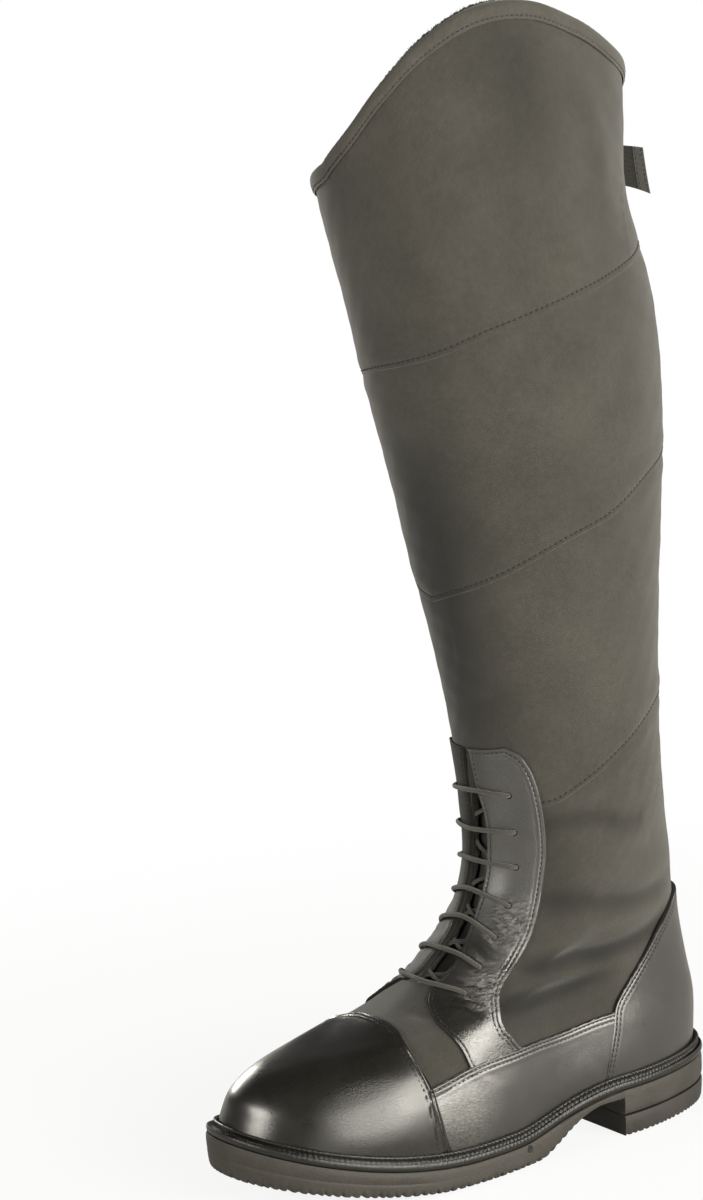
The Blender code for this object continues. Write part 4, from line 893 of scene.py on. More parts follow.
def cloth_shape(u, v, p):
    """Height of the cloth over the form, mm."""
    total = 1.5 * folds(p, [(way, 1.2 * w, d) for way, w, d in CLOTH_FOLDS] + VAMP_CREASES) + lap(u, v) + folds(p, [CLOSING])
    high = smooth((v - 0.15) / 0.25)
    total += ripple(u, v, 0.55) * (0.25 + 0.75 * high)
    total += 0.12 * np.sin(2 * pi * (17 * u + 9 * v)) * np.sin(2 * pi * (5 * u - 31 * v)) * high
    # edge folded back beside the zip
    for side in (-1, 1):
        d = side * (np.mod(u, 1.0) - (ZIP_U + side * ZIP_HALF)) * 330.0
        beside = (d > -0.2) & (v > 0.21)
        total += beside * (0.9 * np.clip((d + 0.2) / 0.8, 0, 1) * np.exp(-np.maximum(d - 0.8, 0) / 5.0)
                           - 0.40 * np.exp(-((d - 3.2) / 0.6) ** 2))
    return total


COARSE = 1.75
rows = cloth_rows(COARSE, 0.24)
probe = np.zeros(1)
row_v = np.array([height_of(r, np.zeros(1))[0] for r in rows])
cols_at, starts = cloth_columns(np.clip(row_v, 0, 1), COARSE, 0.34)
U = cols_at
V = np.array([height_of(r, U[i]) for i, r in enumerate(rows)])
low_row, high_row = [int(np.argmin(np.abs(rows - h))) for h in (HOLE_LOW, HOLE_HIGH)]
zip_a, zip_b = starts[3], starts[4]


def shaft_hole(i, j):
    return (j < starts[1] and low_row <= i < high_row) or (zip_a <= j < zip_b and i >= low_row)


P0 = upper_point(U, V)
UP = np.concatenate([U, U[:, :1] + 1.0], axis=1)
P1 = np.concatenate([P0, P0[:, :1]], axis=1)
run = np.concatenate([np.zeros((len(rows), 1)), np.cumsum(np.linalg.norm(np.diff(P1, axis=1), axis=2), axis=1)], 1)
quarter = np.array([np.interp(0.25, UP[i], run[i]) for i in range(len(rows))])
shaft_uv = np.stack([run - quarter[:, None], np.concatenate([V, V[:, :1]], 1) * RUN], 2)
off = cloth_shape(U, V, P0)
shaft = plate("shaft", upper_point(U, V, off), upper_point(U, V, -CLOTH_T + np.minimum(off, 0) * 0.9), SHAFT, shaft_uv,
              step=(5, 5), keep=((low_row, high_row), tuple(starts)), hole=shaft_hole, closed=True, node="upper")

# Painted shade: how dark the cloth is painted down in its folds, beside its seams and on the sides that lie in shade.
PAINTED_SHADE_BANDS = [
    (((0.170, 0.204), (0.209, 0.185), (0.274, 0.158), (0.324, 0.131), (0.361, 0.124), (0.430, 0.132)), 5.6, -1.25),
    (((0.190, 0.150), (0.219, 0.139), (0.267, 0.124), (0.303, 0.107), (0.345, 0.098)), 5.0, -0.95),
    (((0.160, 0.170), (0.220, 0.135), (0.290, 0.098), (0.350, 0.076)), 16.0, -0.55),
    (((0.100, 0.370), (0.140, 0.362), (0.201, 0.348), (0.276, 0.312), (0.330, 0.290)), 6.5, -0.60),
    (((0.125, 0.305), (0.159, 0.284), (0.258, 0.230), (0.357, 0.183), (0.430, 0.172)), 6.5, -0.70),
    (((0.100, 0.400), (0.150, 0.330), (0.180, 0.260), (0.190, 0.180)), 14.0, -0.34),
    (((-0.040, 0.400), (-0.015, 0.470), (0.000, 0.550), (0.020, 0.640), (0.040, 0.720)), 28.0, -1.20),
    (((0.190, 1.010), (0.215, 0.965), (0.240, 0.925), (0.255, 0.870)), 28.0, -0.42),
    (((0.090, 0.900), (0.130, 0.870), (0.170, 0.850), (0.210, 0.850)), 20.0, -0.14),
    (((0.050, 0.640), (0.120, 0.610), (0.180, 0.620)), 14.0, -0.16),
    (((0.340, 0.990), (0.330, 0.900), (0.320, 0.800), (0.310, 0.700)), 14.0, -0.20),
]
PAINTED_SHADE_BANDS += [([(-u - 0.01, v) for u, v in way], w, d) for way, w, d in PAINTED_SHADE_BANDS[:5]]
at_mm = np.empty(len(shaft.data.vertices) * 3)
shaft.data.vertices.foreach_get("co", at_mm)
# painted shade: how much darker each point of the cloth is painted
painted_shade_amount = -folds(at_mm.reshape(1, -1, 3) / MM, PAINTED_SHADE_BANDS)[0]
shaft.data.attributes.new("painted_shade", "FLOAT", "POINT").data.foreach_set("value", np.clip(painted_shade_amount, 0.0, 0.9).astype(np.float32))

# ------------------------------------------------------------------ fleece lining
l_rows = cloth_rows(2.5, 1.2)
l_v = np.array([height_of(r, np.zeros(1))[0] for r in l_rows])
LU, l_starts = cloth_columns(np.clip(l_v, 0, 1), 2.5, 1.2)
LV = np.array([height_of(r, LU[i]) for i, r in enumerate(l_rows)])
l_low, l_high = [int(np.argmin(np.abs(l_rows - h))) for h in (HOLE_LOW, HOLE_HIGH)]
rng = np.random.default_rng(7)
curl = rng.normal(0, 0.34, LU.shape) + ripple(LU * 3, LV * 4, 0.6)
LP = upper_point(LU, LV, -WALL)
lining_out = -CLOTH_T - 0.5 + 1.15 * np.minimum(cloth_shape(LU, LV, upper_point(LU, LV)), 0.0)
lining_in = np.minimum(-WALL - 0.1 + np.clip(curl, -0.7, 0.7), lining_out - 0.8)
lining = plate("fleece_lining", upper_point(LU, LV, lining_in), upper_point(LU, LV, lining_out),
               PILE, np.concatenate([spread_uv(LP), spread_uv(LP)[:, :1]], 1), step=(4, 4), keep=((l_low, l_high), tuple(l_starts)),
               hole=lambda i, j: (j < l_starts[1] and l_low <= i < l_high) or (l_starts[3] <= j < l_starts[4] and i >= l_low),
               closed=True)

# ------------------------------------------------------------------ collar binding
bu = np.linspace(ZIP_U + ZIP_HALF + 0.002, 1 + ZIP_U - ZIP_HALF - 0.002, 260)
BIND = ((0.45, -6.9), (0.62, -7.2), (0.84, -7.1), (1.04, -6.7), (1.12, -6.2), (0.98, -5.65), (1.26, -5.1), (1.56, -4.4),
        (1.72, -3.0), (1.66, -1.8), (1.50, -0.8), (1.20, 0.05), (0.70, 0.72), (0.0, 1.12), (-0.9, 1.28), (-2.0, 1.32),
        (-3.0, 1.20), (-3.9, 0.85), (-4.6, 0.15), (-4.9, -0.9), (-4.9, -3.0), (-4.85, -6.8), (-4.0, -6.9), (-3.75, -3.0),
        (-3.7, 0.32), (0.45, 0.32), (0.65, -3.0))
pucker = 0.10 * np.sin(2 * pi * bu * 145) + ripple(bu, bu * 0 + 0.3, 0.35)
sections = []
for o, up in BIND:
    lift_by = pucker * (1.0 if 0 < o and up < 1 else 0.4)
    sections.append(upper_point(bu, 1 + (up + 0.25 * pucker) / RUN, o + lift_by + 0.20))
binding = sweep("collar_binding_cloth", np.stack(sections, axis=1), BIND_CLOTH, closed=False, node="collar_binding")

# fleece that stands over the inside of the rim, with loose ends of pile
fu = np.linspace(bu[0], bu[-1], 620)
ring_f = []
for k, (o, up) in enumerate(((-4.5, -6.0), (-4.6, 0.3), (-4.3, 1.5), (-5.2, 2.0), (-6.3, 1.6), (-6.9, 0.2), (-7.0, -3.0), (-6.6, -8.0), (-5.2, -9.0))):
    jag = rng.normal(0, 0.30 if k in (2, 3, 4, 5, 6, 7) else 0.05, len(fu))
    ring_f.append(upper_point(fu, 1 + (up + jag) / RUN, o + 0.5 * jag))
fleece_rim = sweep("fleece_rim", np.stack(ring_f, axis=1), PILE, closed=False, angle=60)

tufts_v, tufts_f = [], []
N = 2600
tu = bu[0] + (bu[-1] - bu[0]) * rng.random(N)
base_up = rng.uniform(-1.2, 1.7, N)
root = upper_point(tu, 1 + base_up / RUN, -4.4 - 1.2 * rng.random(N))
up_dir = upper_point(tu, np.full(N, 1 + 4 / RUN), -5.0) - upper_point(tu, np.ones(N), -5.0)
up_dir /= np.linalg.norm(up_dir, axis=1)[:, None]
side_dir = upper_point(tu + 0.004, np.ones(N), -5.0) - upper_point(tu, np.ones(N), -5.0)
side_dir /= np.linalg.norm(side_dir, axis=1)[:, None]
in_dir = np.cross(up_dir, side_dir)
lean, twist, tall = rng.normal(0, 0.55, N), rng.normal(0, 0.4, N), rng.uniform(0.5, 1.5, N)
thick = rng.uniform(0.10, 0.20, N)
rings = []
for s, r in ((0.0, 1.0), (0.5, 0.8), (1.0, 0.35)):
    c = root + up_dir * (tall * s)[:, None] + side_dir * (lean * s * s * tall)[:, None] + in_dir * (twist * s * s * tall)[:, None]
    rings.append(np.stack([c + (side_dir * np.cos(a) + in_dir * np.sin(a)) * (thick * r)[:, None] for a in (0, 2.09, 4.19)], 1))
block = np.stack(rings, 1).reshape(N, 9, 3)
one = [[a * 3 + j, a * 3 + (j + 1) % 3, a * 3 + 3 + (j + 1) % 3, a * 3 + 3 + j] for a in (0, 1) for j in range(3)] + [[2, 1, 0], [6, 7, 8]]
for q in range(N):
    tufts_f.extend([[q * 9 + x for x in f] for f in one])
tufts = make("fleece_tufts", block.reshape(-1, 3), [tufts_f], PILE, angle=80)

# ------------------------------------------------------------------ leather pieces
LEG_LOW = 0.0035                     # leather runs down behind the welt's lip


def proud(p, edges, thick, low, sewn=(1.9,), bead=0.36, roll=0.9, depth=0.34):
    """Height of leather over the upper: rolled at its edges, pulled down along its rows of
    stitches, with a raised bead at the very edge."""
    d = np.full(p.shape[:-1], 1e9)
    for e in edges:
        d = np.minimum(d, nearest(p, e)[0])
    x = np.clip(d / roll, 0, 1)
    h = low + thick * (0.22 + 0.78 * np.sqrt(np.clip(1 - (1 - x) ** 2, 0, 1)))
    h += bead * np.exp(-((d - 0.9) / 0.7) ** 2)
    for s in sewn:
        h -= depth * np.exp(-((d - s) / 0.40) ** 2)
        h += 0.4 * depth * np.exp(-((d - s - 1.2) / 0.8) ** 2)
    return h


def hide_piece(name, u, v, height, low, mat, node, step=(4, 4)):
    outer = upper_point(u, v, height)
    obj = plate(name, outer, upper_point(u, v, np.broadcast_to(low, u.shape)), mat, spread_uv(outer), step=step, node=node)
    return obj


F = 1.0
seam_rows = []                       # (edge, off) ways for the stitches on leather

# toe cap
seam = np.array(CAP_SEAM)
corner = 5
top_half = seam[:corner + 1]
cap_top = np.vstack([top_half[::-1] * [-1, 1], top_half[1:]])
side = seam[corner:][::-1].copy()
side[0, 1] = LEG_LOW
rs, cs = graded(95.0, 0.30 * F, 2.0 * F, [95.0], 0.10), graded(235.0, 0.30 * F, 1.6 * F, [0.0, 235.0], 0.10)
cu, cv = patch([(-0.250, LEG_LOW), (-0.12, LEG_LOW), (0.0, LEG_LOW), (0.12, LEG_LOW), (0.250, LEG_LOW)], cap_top,
               side * [-1, 1], side, rs, cs)
cap_edge = np.vstack([(side * [-1, 1]), cap_top[1:-1], side[::-1]])
cap_p = upper_point(cu, cv)
h = proud(cap_p, [line(cap_edge)], 1.75, 0.45, sewn=(1.7, 3.6), bead=0.22, depth=0.42)
h += ripple(cu * 0.6, cv * 1.4, 0.16)
toe_cap = hide_piece("toe_cap_leather", cu, cv, h, 0.35, SMOOTH, "toe_cap")
cap_way = cap_edge[::-1]
for by in (1.7, 3.6):
    seam_rows.append((inset(along(cap_way, np.linspace(0, 1, 260)), by, 1.0), 1.78 + 0.14))

# rands
RAND_LINE = np.array(RAND_TOP)
for sign, name in ((1, "rand_lateral"), (-1, "rand_medial")):
    left = seam[seam[:, 1] <= RAND_LINE[0, 1] + 0.002][::-1].copy()
    left[0, 1] = LEG_LOW
    left[-1] = RAND_LINE[0]
    left[:, 0] -= 0.004                       # runs in under the toe cap
    top = RAND_LINE.copy()
    top[0, 0] -= 0.004
    top[-1, 0] += 0.010                       # and under the counter
    right = np.array([p for p in COUNTER_EDGE if p[1] < RAND_LINE[-1, 1]] + [tuple(RAND_LINE[-1])])
    right[:, 0] += 0.010
    right[0, 1] = LEG_LOW
    rs, cs = graded(36.0, 0.26 * F, 1.3 * F, [36.0], 0.10), graded(105.0, 0.9 * F, 1.4 * F, [0.0, 105.0], 0.10)
    ru, rv = patch([(left[0, 0], LEG_LOW), (0.28, LEG_LOW), (0.31, LEG_LOW), (right[0, 0], LEG_LOW)], top, left, right, rs, cs)
    rp = upper_point(sign * ru, rv)
    calm = np.clip((ru - 0.250) / 0.050, 0, 1)          # the seam lies flatter going back
    h = proud(rp, [line(top * [sign, 1])], 1.55, 0.30, sewn=(1.7, 3.7), bead=0.24 - 0.16 * calm, depth=0.42 - 0.24 * calm)
    h += folds(rp, [([(sign * a, b) for a, b in w], wd, dp) for w, wd, dp in (
        (((0.228, 0.075), (0.244, 0.060), (0.252, 0.050)), 1.3, -0.30), (((0.236, 0.078), (0.252, 0.064), (0.260, 0.056)), 1.2, 0.22),
        (((0.244, 0.074), (0.258, 0.062), (0.268, 0.052)), 1.2, -0.22))])
    h += ripple(ru + 0.1, rv * 1.5, 0.14, seed=sign)
    hide_piece(name + "_leather", sign * ru, rv, h, 0.2, BODY_HIDE, name)
    way = along(top * [sign, 1], np.linspace(0.03, 0.97, 160))
    for by in (1.7, 3.7):
        seam_rows.append((inset(way, by, -sign), 1.43 + 0.14))

# heel counter
front_edge = np.array(COUNTER_EDGE)
low_side = front_edge[:4].copy()
low_side[0, 1] = LEG_LOW
arch = front_edge[3:]
arch = np.vstack([arch, (arch[:-1] * [-1, 1] + [1, 0])[::-1]])
counter_edge = np.vstack([low_side[:-1], arch, (low_side[:-1] * [-1, 1] + [1, 0])[::-1]])
rs, cs = graded(80.0, 0.30 * F, 1.9 * F, [80.0], 0.10), graded(150.0, 0.30 * F, 1.8 * F, [0.0, 150.0], 0.10)
ku, kv = patch([(0.335, LEG_LOW), (0.42, LEG_LOW), (0.5, LEG_LOW), (0.58, LEG_LOW), (0.665, LEG_LOW)], arch,
               low_side, low_side * [-1, 1] + [1, 0], rs, cs)
kp = upper_point(ku, kv)
h = proud(kp, [line(counter_edge)], 1.7, 0.40, sewn=(2.0, 4.0), bead=0.10, roll=0.9, depth=0.19)
h += ripple(ku * 0.8, kv * 1.2, 0.18, seed=1.7)
hide_piece("counter_leather", ku, kv, h, 0.3, BODY_HIDE, "heel_counter")
for by in (2.0, 4.0):
    seam_rows.append((inset(along(counter_edge, np.linspace(0, 1, 300)), by, -1.0), 1.84 + 0.10))

# facings
facing = np.array(FACING)[::-1]              # from the bottom up
FV = facing[:, 0]


def facing_at(v):
    return through(FV, facing[:, 1:], v)


FACE_CREASES = []
for k in range(9):                           # bend of the ankle: short lines fanning back and down
    s = k / 8.0
    FACE_CREASES.append((((0.066 + 0.012 * s, 0.312 - 0.050 * s), (0.100 + 0.008 * s, 0.292 - 0.052 * s), (0.146, 0.262 - 0.050 * s)),
                         0.95 + 0.25 * (k % 3), (-0.42, 0.26, -0.30)[k % 3]))
for k in range(8):                           # lower bend, above the leg
    s = k / 7.0
    FACE_CREASES.append((((0.086 + 0.03 * s, 0.232 - 0.048 * s), (0.125 + 0.03 * s, 0.208 - 0.045 * s), (0.166 + 0.02 * s, 0.186 - 0.046 * s)),
                         0.9 + 0.3 * (k % 2), (-0.36, 0.24)[k % 2]))
FACE_CREASES += [(((0.060, 0.268), (0.105, 0.240), (0.160, 0.215)), 2.2, -0.35), (((0.070, 0.300), (0.110, 0.276), (0.155, 0.250)), 2.4, 0.25),
                 (((0.085, 0.246), (0.125, 0.220), (0.170, 0.196)), 2.2, 0.25), (((0.120, 0.200), (0.160, 0.165), (0.195, 0.140)), 2.4, -0.25),
                 (((0.050, 0.372), (0.090, 0.362), (0.125, 0.352)), 3.0, -0.15)]

fl = graded(178.0, 0.30 * F, 1.15 * F, [178.0, 78.0, 62.0, 48.0], 0.10)
fv_line = 0.068 + (0.433 - 0.068) * fl
fc = graded(46.0, 0.28 * F, 0.95 * F, [0.0, 46.0], 0.12)
for sign, name, col in ((1, "facing_lateral", 0), (-1, "facing_medial", 2)):
    f3 = facing_at(fv_line)
    a, b = f3[:, col], f3[:, 1] * sign
    fu = a[:, None] + (b - a)[:, None] * fc[None, :]
    fv = np.repeat(fv_line[:, None], len(fc), 1)
    fp = upper_point(fu, fv)
    fine_v = np.linspace(0.068, 0.433, 700)
    f4 = facing_at(fine_v)
    front_way, back_way = np.stack([f4[:, col], fine_v], 1), np.stack([f4[:, 1] * sign, fine_v], 1)
    top_way = np.stack([np.linspace(front_way[-1, 0], back_way[-1, 0], 60), np.full(60, 0.433)], 1)
    pts = [upper_point(w[:, 0], w[:, 1]) for w in (front_way, back_way, top_way)]
    h = proud(fp, [pts[0]], 1.45, 0.15, sewn=(1.9,), bead=0.40, roll=0.9)
    h2 = proud(fp, pts[1:], 1.45, 0.15, sewn=(2.1, 4.0), bead=0.45, roll=0.9, depth=0.36)
    h = np.minimum(h, h2) + 0.0
    crease = [([(sign * p, q) for p, q in w], wd, dp) for w, wd, dp in FACE_CREASES]
    h += folds(fp, crease) * np.clip(nearest(fp, pts[1])[0] / 4.0, 0.15, 1) * np.clip(nearest(fp, pts[0])[0] / 3.0, 0.3, 1)
    h += ripple(fu * 1.4, fv * 2.2, 0.16, seed=2.0 + sign)
    # the inner facing takes the shaded copy of the leather
    obj = hide_piece(name + "_leather", fu, fv, h, 0.02, GRAIN if sign > 0 else GRAIN_SHADED, name, step=(3, 4))
    # punched eyelets
    cut_v, cut_f = [], []
    for v, u, crest in EYELETS:
        c, d = upper_point(np.array([sign * u]), np.array([v]))[0], upper_point(np.array([sign * u]), np.array([v]), 1.0)[0]
        n = (d - c) / np.linalg.norm(d - c)
        t = np.cross(n, [0, 0, 1.0])
        t /= np.linalg.norm(t)
        s = np.cross(n, t)
        o = len(cut_v)
        for z, r in ((-2.0, 1.45), (1.2, 1.45), (2.6, 2.1), (3.6, 2.5)):
            for q in range(16):
                cut_v.append(c + n * z + (t * np.cos(2 * pi * q / 16) + s * np.sin(2 * pi * q / 16)) * r)
        for rr in range(3):
            cut_f += [[o + rr * 16 + q, o + rr * 16 + (q + 1) % 16, o + rr * 16 + 16 + (q + 1) % 16, o + rr * 16 + 16 + q] for q in range(16)]
        cut_f += [[o + q for q in reversed(range(16))], [o + 48 + q for q in range(16)]]
    mesh = bpy.data.meshes.new("punch")
    mesh.from_pydata((np.array(cut_v) * MM).tolist(), [], cut_f)
    punch = bpy.data.objects.new("punch", mesh)
    bpy.context.scene.collection.objects.link(punch)
    bm = bmesh.new()
    bm.from_mesh(mesh)
    bmesh.ops.recalc_face_normals(bm, faces=bm.faces)
    bm.to_mesh(mesh)
    bm.free()
    mod = obj.modifiers.new("eyelets", "BOOLEAN")
    mod.operation, mod.solver, mod.object = "DIFFERENCE", "EXACT", punch
    bpy.context.view_layer.update()
    done = bpy.data.meshes.new_from_object(obj.evaluated_get(bpy.context.evaluated_depsgraph_get()))
    obj.modifiers.clear()
    old = obj.data
    obj.data = done
    done.name = obj.name
    bpy.data.meshes.remove(old)
    bpy.data.objects.remove(punch)
    done.set_sharp_from_angle(angle=40 * pi / 180)
    # stitch rows
    outline = np.vstack([back_way[20:], top_way[::-1][1:-1]])
    outline = outline[::6]
    seam_rows.append((inset(outline, 2.1, sign), 1.24 + 0.12))
    leg = back_way[20:330][::6]
    seam_rows.append((inset(leg, 4.0, sign), 1.24 + 0.12))
    seam_rows.append((inset(front_way[20:690][::6], 1.9, -sign), 1.26 + 0.12))


sv, sf = stitch_mesh([way_on(w, o + 0.05) for w, o in seam_rows], 2.5, 1.7, 0.33)
make("leather_stitches", sv, [sf], THREAD_LIGHT, angle=80)

# stitches of the shaft's seams and of the binding
shaft_ways = []
for k in range(3):
    a = np.linspace(ZIP_U + ZIP_HALF + 0.008, 1 + ZIP_U - ZIP_HALF - 0.008, 420)
    if k == 0:
        for part in (a[(a > 1.12) & (a < 2)], a[a < 0.88]):
            shaft_ways.append(np.stack([part, seam_v(0, part) + 2.1 / RUN], 1)[::3])
    else:
        shaft_ways.append(np.stack([a, seam_v(k, a) + 2.1 / RUN], 1)[::3])
on_seams = []
for w in shaft_ways:
    fine = along(w, np.linspace(0, 1, 700))
    height = cloth_shape(fine[:, 0], fine[:, 1], upper_point(fine[:, 0], fine[:, 1])) + 0.14
    p = upper_point(fine[:, 0], fine[:, 1], height)
    on_seams.append((p, upper_point(fine[:, 0], fine[:, 1], height + 1.0) - p))
sv, sf = stitch_mesh(on_seams, 2.8, 1.9, 0.45)
make("shaft_stitches", sv, [sf], THREAD, angle=80)
a = np.linspace(bu[2], bu[-3], 200)
stitches("binding_stitches", [np.stack([a, np.full(200, 1 - 5.65 / RUN)], 1)], 1.34, THREAD, pitch=2.5, length=1.8, radius=0.34)

# ------------------------------------------------------------------ tongue
tv = np.linspace(0.195, 0.425, 90)
tmid = table(THROAT, tv)[:, 0]
across = np.linspace(-0.064, 0.064, 44)
tu = tmid[:, None] + across[None, :]
tvg = np.repeat(tv[:, None], len(across), 1)
tp = upper_point(tu, tvg)
th = -WALL - TONGUE_GAP - 0.5 + ripple(tu * 3, tvg * 5, 0.5)
th += 0.35 * np.sin(2 * pi * tvg * 26) * np.exp(-((tu - tmid[:, None]) / 0.03) ** 2)
tongue = plate("tongue_leather", upper_point(tu, tvg, th), upper_point(tu, tvg, np.full(tu.shape, -WALL - TONGUE_GAP - TONGUE_T - 0.3)),
               GRAIN, spread_uv(tp), node="tongue")

# ------------------------------------------------------------------ lace
def crossing_way(start, crest, end, count):
    """(u, v) way over the upper: the cut by the plane through two points and the crest."""
    a, c, b = (upper_point(np.array([p[0]]), np.array([p[1]]))[0] for p in (start, crest, end))
    plane = np.cross(b - a, c - a)
    us = np.linspace(start[0], end[0], count)
    vs = np.linspace(min(start[1], end[1]) - 0.02, max(start[1], end[1]) + 0.14, 300)
    way = []
    for k, u in enumerate(us):
        s = (upper_point(np.full(300, u), vs) - a) @ plane
        i = np.where(np.diff(np.sign(s)) != 0)[0]
        t = 2.0 * k / (count - 1)
        guess = start[1] * max(1 - t, 0) + end[1] * max(t - 1, 0) + crest[1] * min(t, 2 - t)
        if len(i):
            i = i[np.argmin(np.abs(vs[i] - guess))]
            guess = vs[i] - s[i] * (vs[i + 1] - vs[i]) / (s[i + 1] - s[i])
        way.append((u, guess))
    way[0], way[-1] = start, end
    return np.array(way)


def rounded(points, times=2):
    for _ in range(times):
        q = 0.75 * points[:-1] + 0.25 * points[1:]
        r = 0.25 * points[:-1] + 0.75 * points[1:]
        mid = np.empty((2 * len(q), 3))
        mid[0::2], mid[1::2] = q, r
        points = np.vstack([points[:1], mid, points[-1:]])
    return points


OVER = 1.75 + CORD_R + 0.15                 # cord's middle over the leather
lace_parts = []
UNDER = -WALL - 0.75
for k, (v, u, crest) in enumerate(EYELETS):
    way = crossing_way((u, v), (CREST_U, crest), (-u, v), 31)
    p0 = upper_point(way[:, 0], way[:, 1])
    run_w = np.concatenate([[0.0], np.cumsum(np.linalg.norm(np.diff(p0, axis=0), axis=1))])
    keep = (run_w > 1.9) & (run_w < run_w[-1] - 1.9)
    s = np.minimum(run_w, run_w[-1] - run_w)
    lift_off = OVER - 0.9 * np.exp(-((s - 1.9) / 1.6))
    wave = 0.25 * np.sin(2 * pi * run_w / run_w[-1] * (1.0 + 0.2 * k) + k)
    over = upper_point(way[:, 0], way[:, 1] + wave * 0.8 / RUN, lift_off)[keep]
    def pin(uv_end, offs):
        return [upper_point(np.array([uv_end[0]]), np.array([uv_end[1]]), o)[0] for o in offs]
    ends_a = pin(way[0], (-2.6, -1.0, 0.6, 1.7))
    ends_b = pin(way[-1], (1.7, 0.6, -1.0, -2.6))
    path = rounded(np.vstack([ends_a, over, ends_b]), 2)
    lace_parts.append(tube("bar_%d" % k, path, CORD_R, LACE, sides=12))
for k in range(len(EYELETS) - 1):
    v0, u0, c0 = EYELETS[k]
    v1, u1, c1 = EYELETS[k + 1]
    for s0, s1, dip in ((-1, 1, 0.0), (1, -1, -0.9)) if k % 2 else ((1, -1, 0.0), (-1, 1, -0.9)):
        if dip and k < 3:
            continue
        way = crossing_way((s0 * u0, v0), (CREST_U, 0.5 * (c0 + c1) - 0.004), (s1 * u1, v1), 25)
        t = np.linspace(0, 1, 25)
        offs = UNDER + (2.1 + dip) * np.clip(np.sin(pi * t), 0, 1) ** 4
        under = upper_point(way[:, 0], way[:, 1], offs)
        a = [upper_point(np.array([s0 * u0]), np.array([v0]), o)[0] for o in (-2.2, -3.2)]
        b = [upper_point(np.array([s1 * u1]), np.array([v1]), o)[0] for o in (-3.2, -2.2)]
        lace_parts.append(tube("under_%d" % k, rounded(np.vstack([a, under[2:-2], b]), 1), CORD_R * 0.92, LACE, sides=10))
lace = join("lace_cord", lace_parts, "lace")

# ------------------------------------------------------------------ sole
BREAST_Y = HEEL_BACK_Y - HEEL_BREAST
TOP_H = -WELT_T - 2 * GAP - 0.15


def stations(step, breast=False):
    """u of stations from toe to heel along the outer edge, even by length."""
    fine = np.linspace(0.0, 0.5, 4001)
    xy = foot_plan(fine, SOLE_OUT)
    s = np.concatenate([[0.0], np.cumsum(np.hypot(*np.diff(xy, axis=0).T))])
    half = np.interp(np.linspace(0, s[-1], int(s[-1] / step) + 1), s, fine)
    if breast:
        ub = [np.interp(BREAST_Y + d, xy[:, 1], fine) for d in (-0.06, 0.06)]
        half = half[(half < ub[0] - 0.0003) | (half > ub[1] + 0.0003)]
        half = np.sort(np.concatenate([half, ub]))
    return half


def sole_piece(name, half, levels, low_z, top_cols, cols, first=0, **more):
    """Solid of the foot's outline.  half: u of the outer stations, toe to heel, from which
    the inner ones are mirrored.  levels: rings from the lowest to the top, each a function
    of u that gives grow and height (height a function of x and y).  low_z(p, gap, run):
    height of the tread.  first: station that it starts at, closed straight across."""
    half = half[first:]
    H = len(half) - 1
    closed_front = first == 0
    if closed_front:
        loop = np.concatenate([half, 1.0 - half[-2:0:-1]])
    else:
        loop = np.concatenate([half, 1.0 - half[-2::-1]])
    n = len(loop)
    xy0 = foot_plan(loop, SOLE_OUT)
    run_l = np.concatenate([[0.0], np.cumsum(np.hypot(*np.diff(xy0, axis=0).T))])
    rings = []
    for grow, height in levels:
        xy = foot_plan(loop, grow(loop))
        rings.append(np.column_stack([xy, height(xy[:, 0], xy[:, 1], run_l)]))
    verts = list(rings)
    count = n * len(rings)
    faces, uvs = [], []
    idx = np.arange(n if closed_front else n - 1)
    nxt = (idx + 1) % n
    for r in range(len(rings) - 1):
        faces.append(np.stack([r * n + idx, r * n + nxt, (r + 1) * n + nxt, (r + 1) * n + idx], 1))

    def other(i):
        return (n - i) % n if closed_front else n - 1 - i

    def grid(ring, t, z_of, base_ring, flip):
        nonlocal count
        a = ring[:H + 1]
        b = ring[[other(i) for i in range(H + 1)]]
        g = a[:, None] * (1 - t)[None, :, None] + b[:, None] * t[None, :, None]
        width = np.linalg.norm(a - b, axis=1)
        gap = np.minimum(t, 1 - t)[None, :] * width[:, None]
        if z_of is not None:
            g[..., 2] = z_of(g, gap, t)
        m = len(t) - 1
        index = np.empty((H + 1, m + 1), int)
        index[:, 0] = base_ring * n + np.arange(H + 1)
        index[:, m] = base_ring * n + np.array([other(i) for i in range(H + 1)])
        inner = count + np.arange((H + 1) * (m - 1)).reshape(H + 1, m - 1)
        index[:, 1:m] = inner
        count += (H + 1) * (m - 1)
        verts.append(g[:, 1:m].reshape(-1, 3))
        if closed_front:
            index[0, :] = index[0, 0]
        index[H, :] = index[H, 0]
        q = np.stack([index[:-1, :-1], index[:-1, 1:], index[1:, 1:], index[1:, :-1]], 2)
        if flip:
            q = q[..., ::-1]
        out = []
        for i in range(H):
            if i in (0, H - 1):
                for f in q[i].tolist():
                    f = [x for k, x in enumerate(f) if x not in f[:k]]
                    if len(f) > 2:
                        out.append(f)
        faces.append(q[1:H - 1].reshape(-1, 4))
        faces.append(out)
        return index

    low_i = grid(rings[0], cols, low_z, 0, False)
    high_i = grid(rings[-1], top_cols, None, len(rings) - 1, True)
    if not closed_front:
        side_a = [r * n for r in range(len(rings))]
        side_b = [r * n + n - 1 for r in range(len(rings))]
        faces.append([list(low_i[0]) + side_b[1:-1] + list(high_i[0][::-1]) + side_a[1:-1][::-1]])
    return make(name, np.vstack(verts), faces, angle=32, **more)


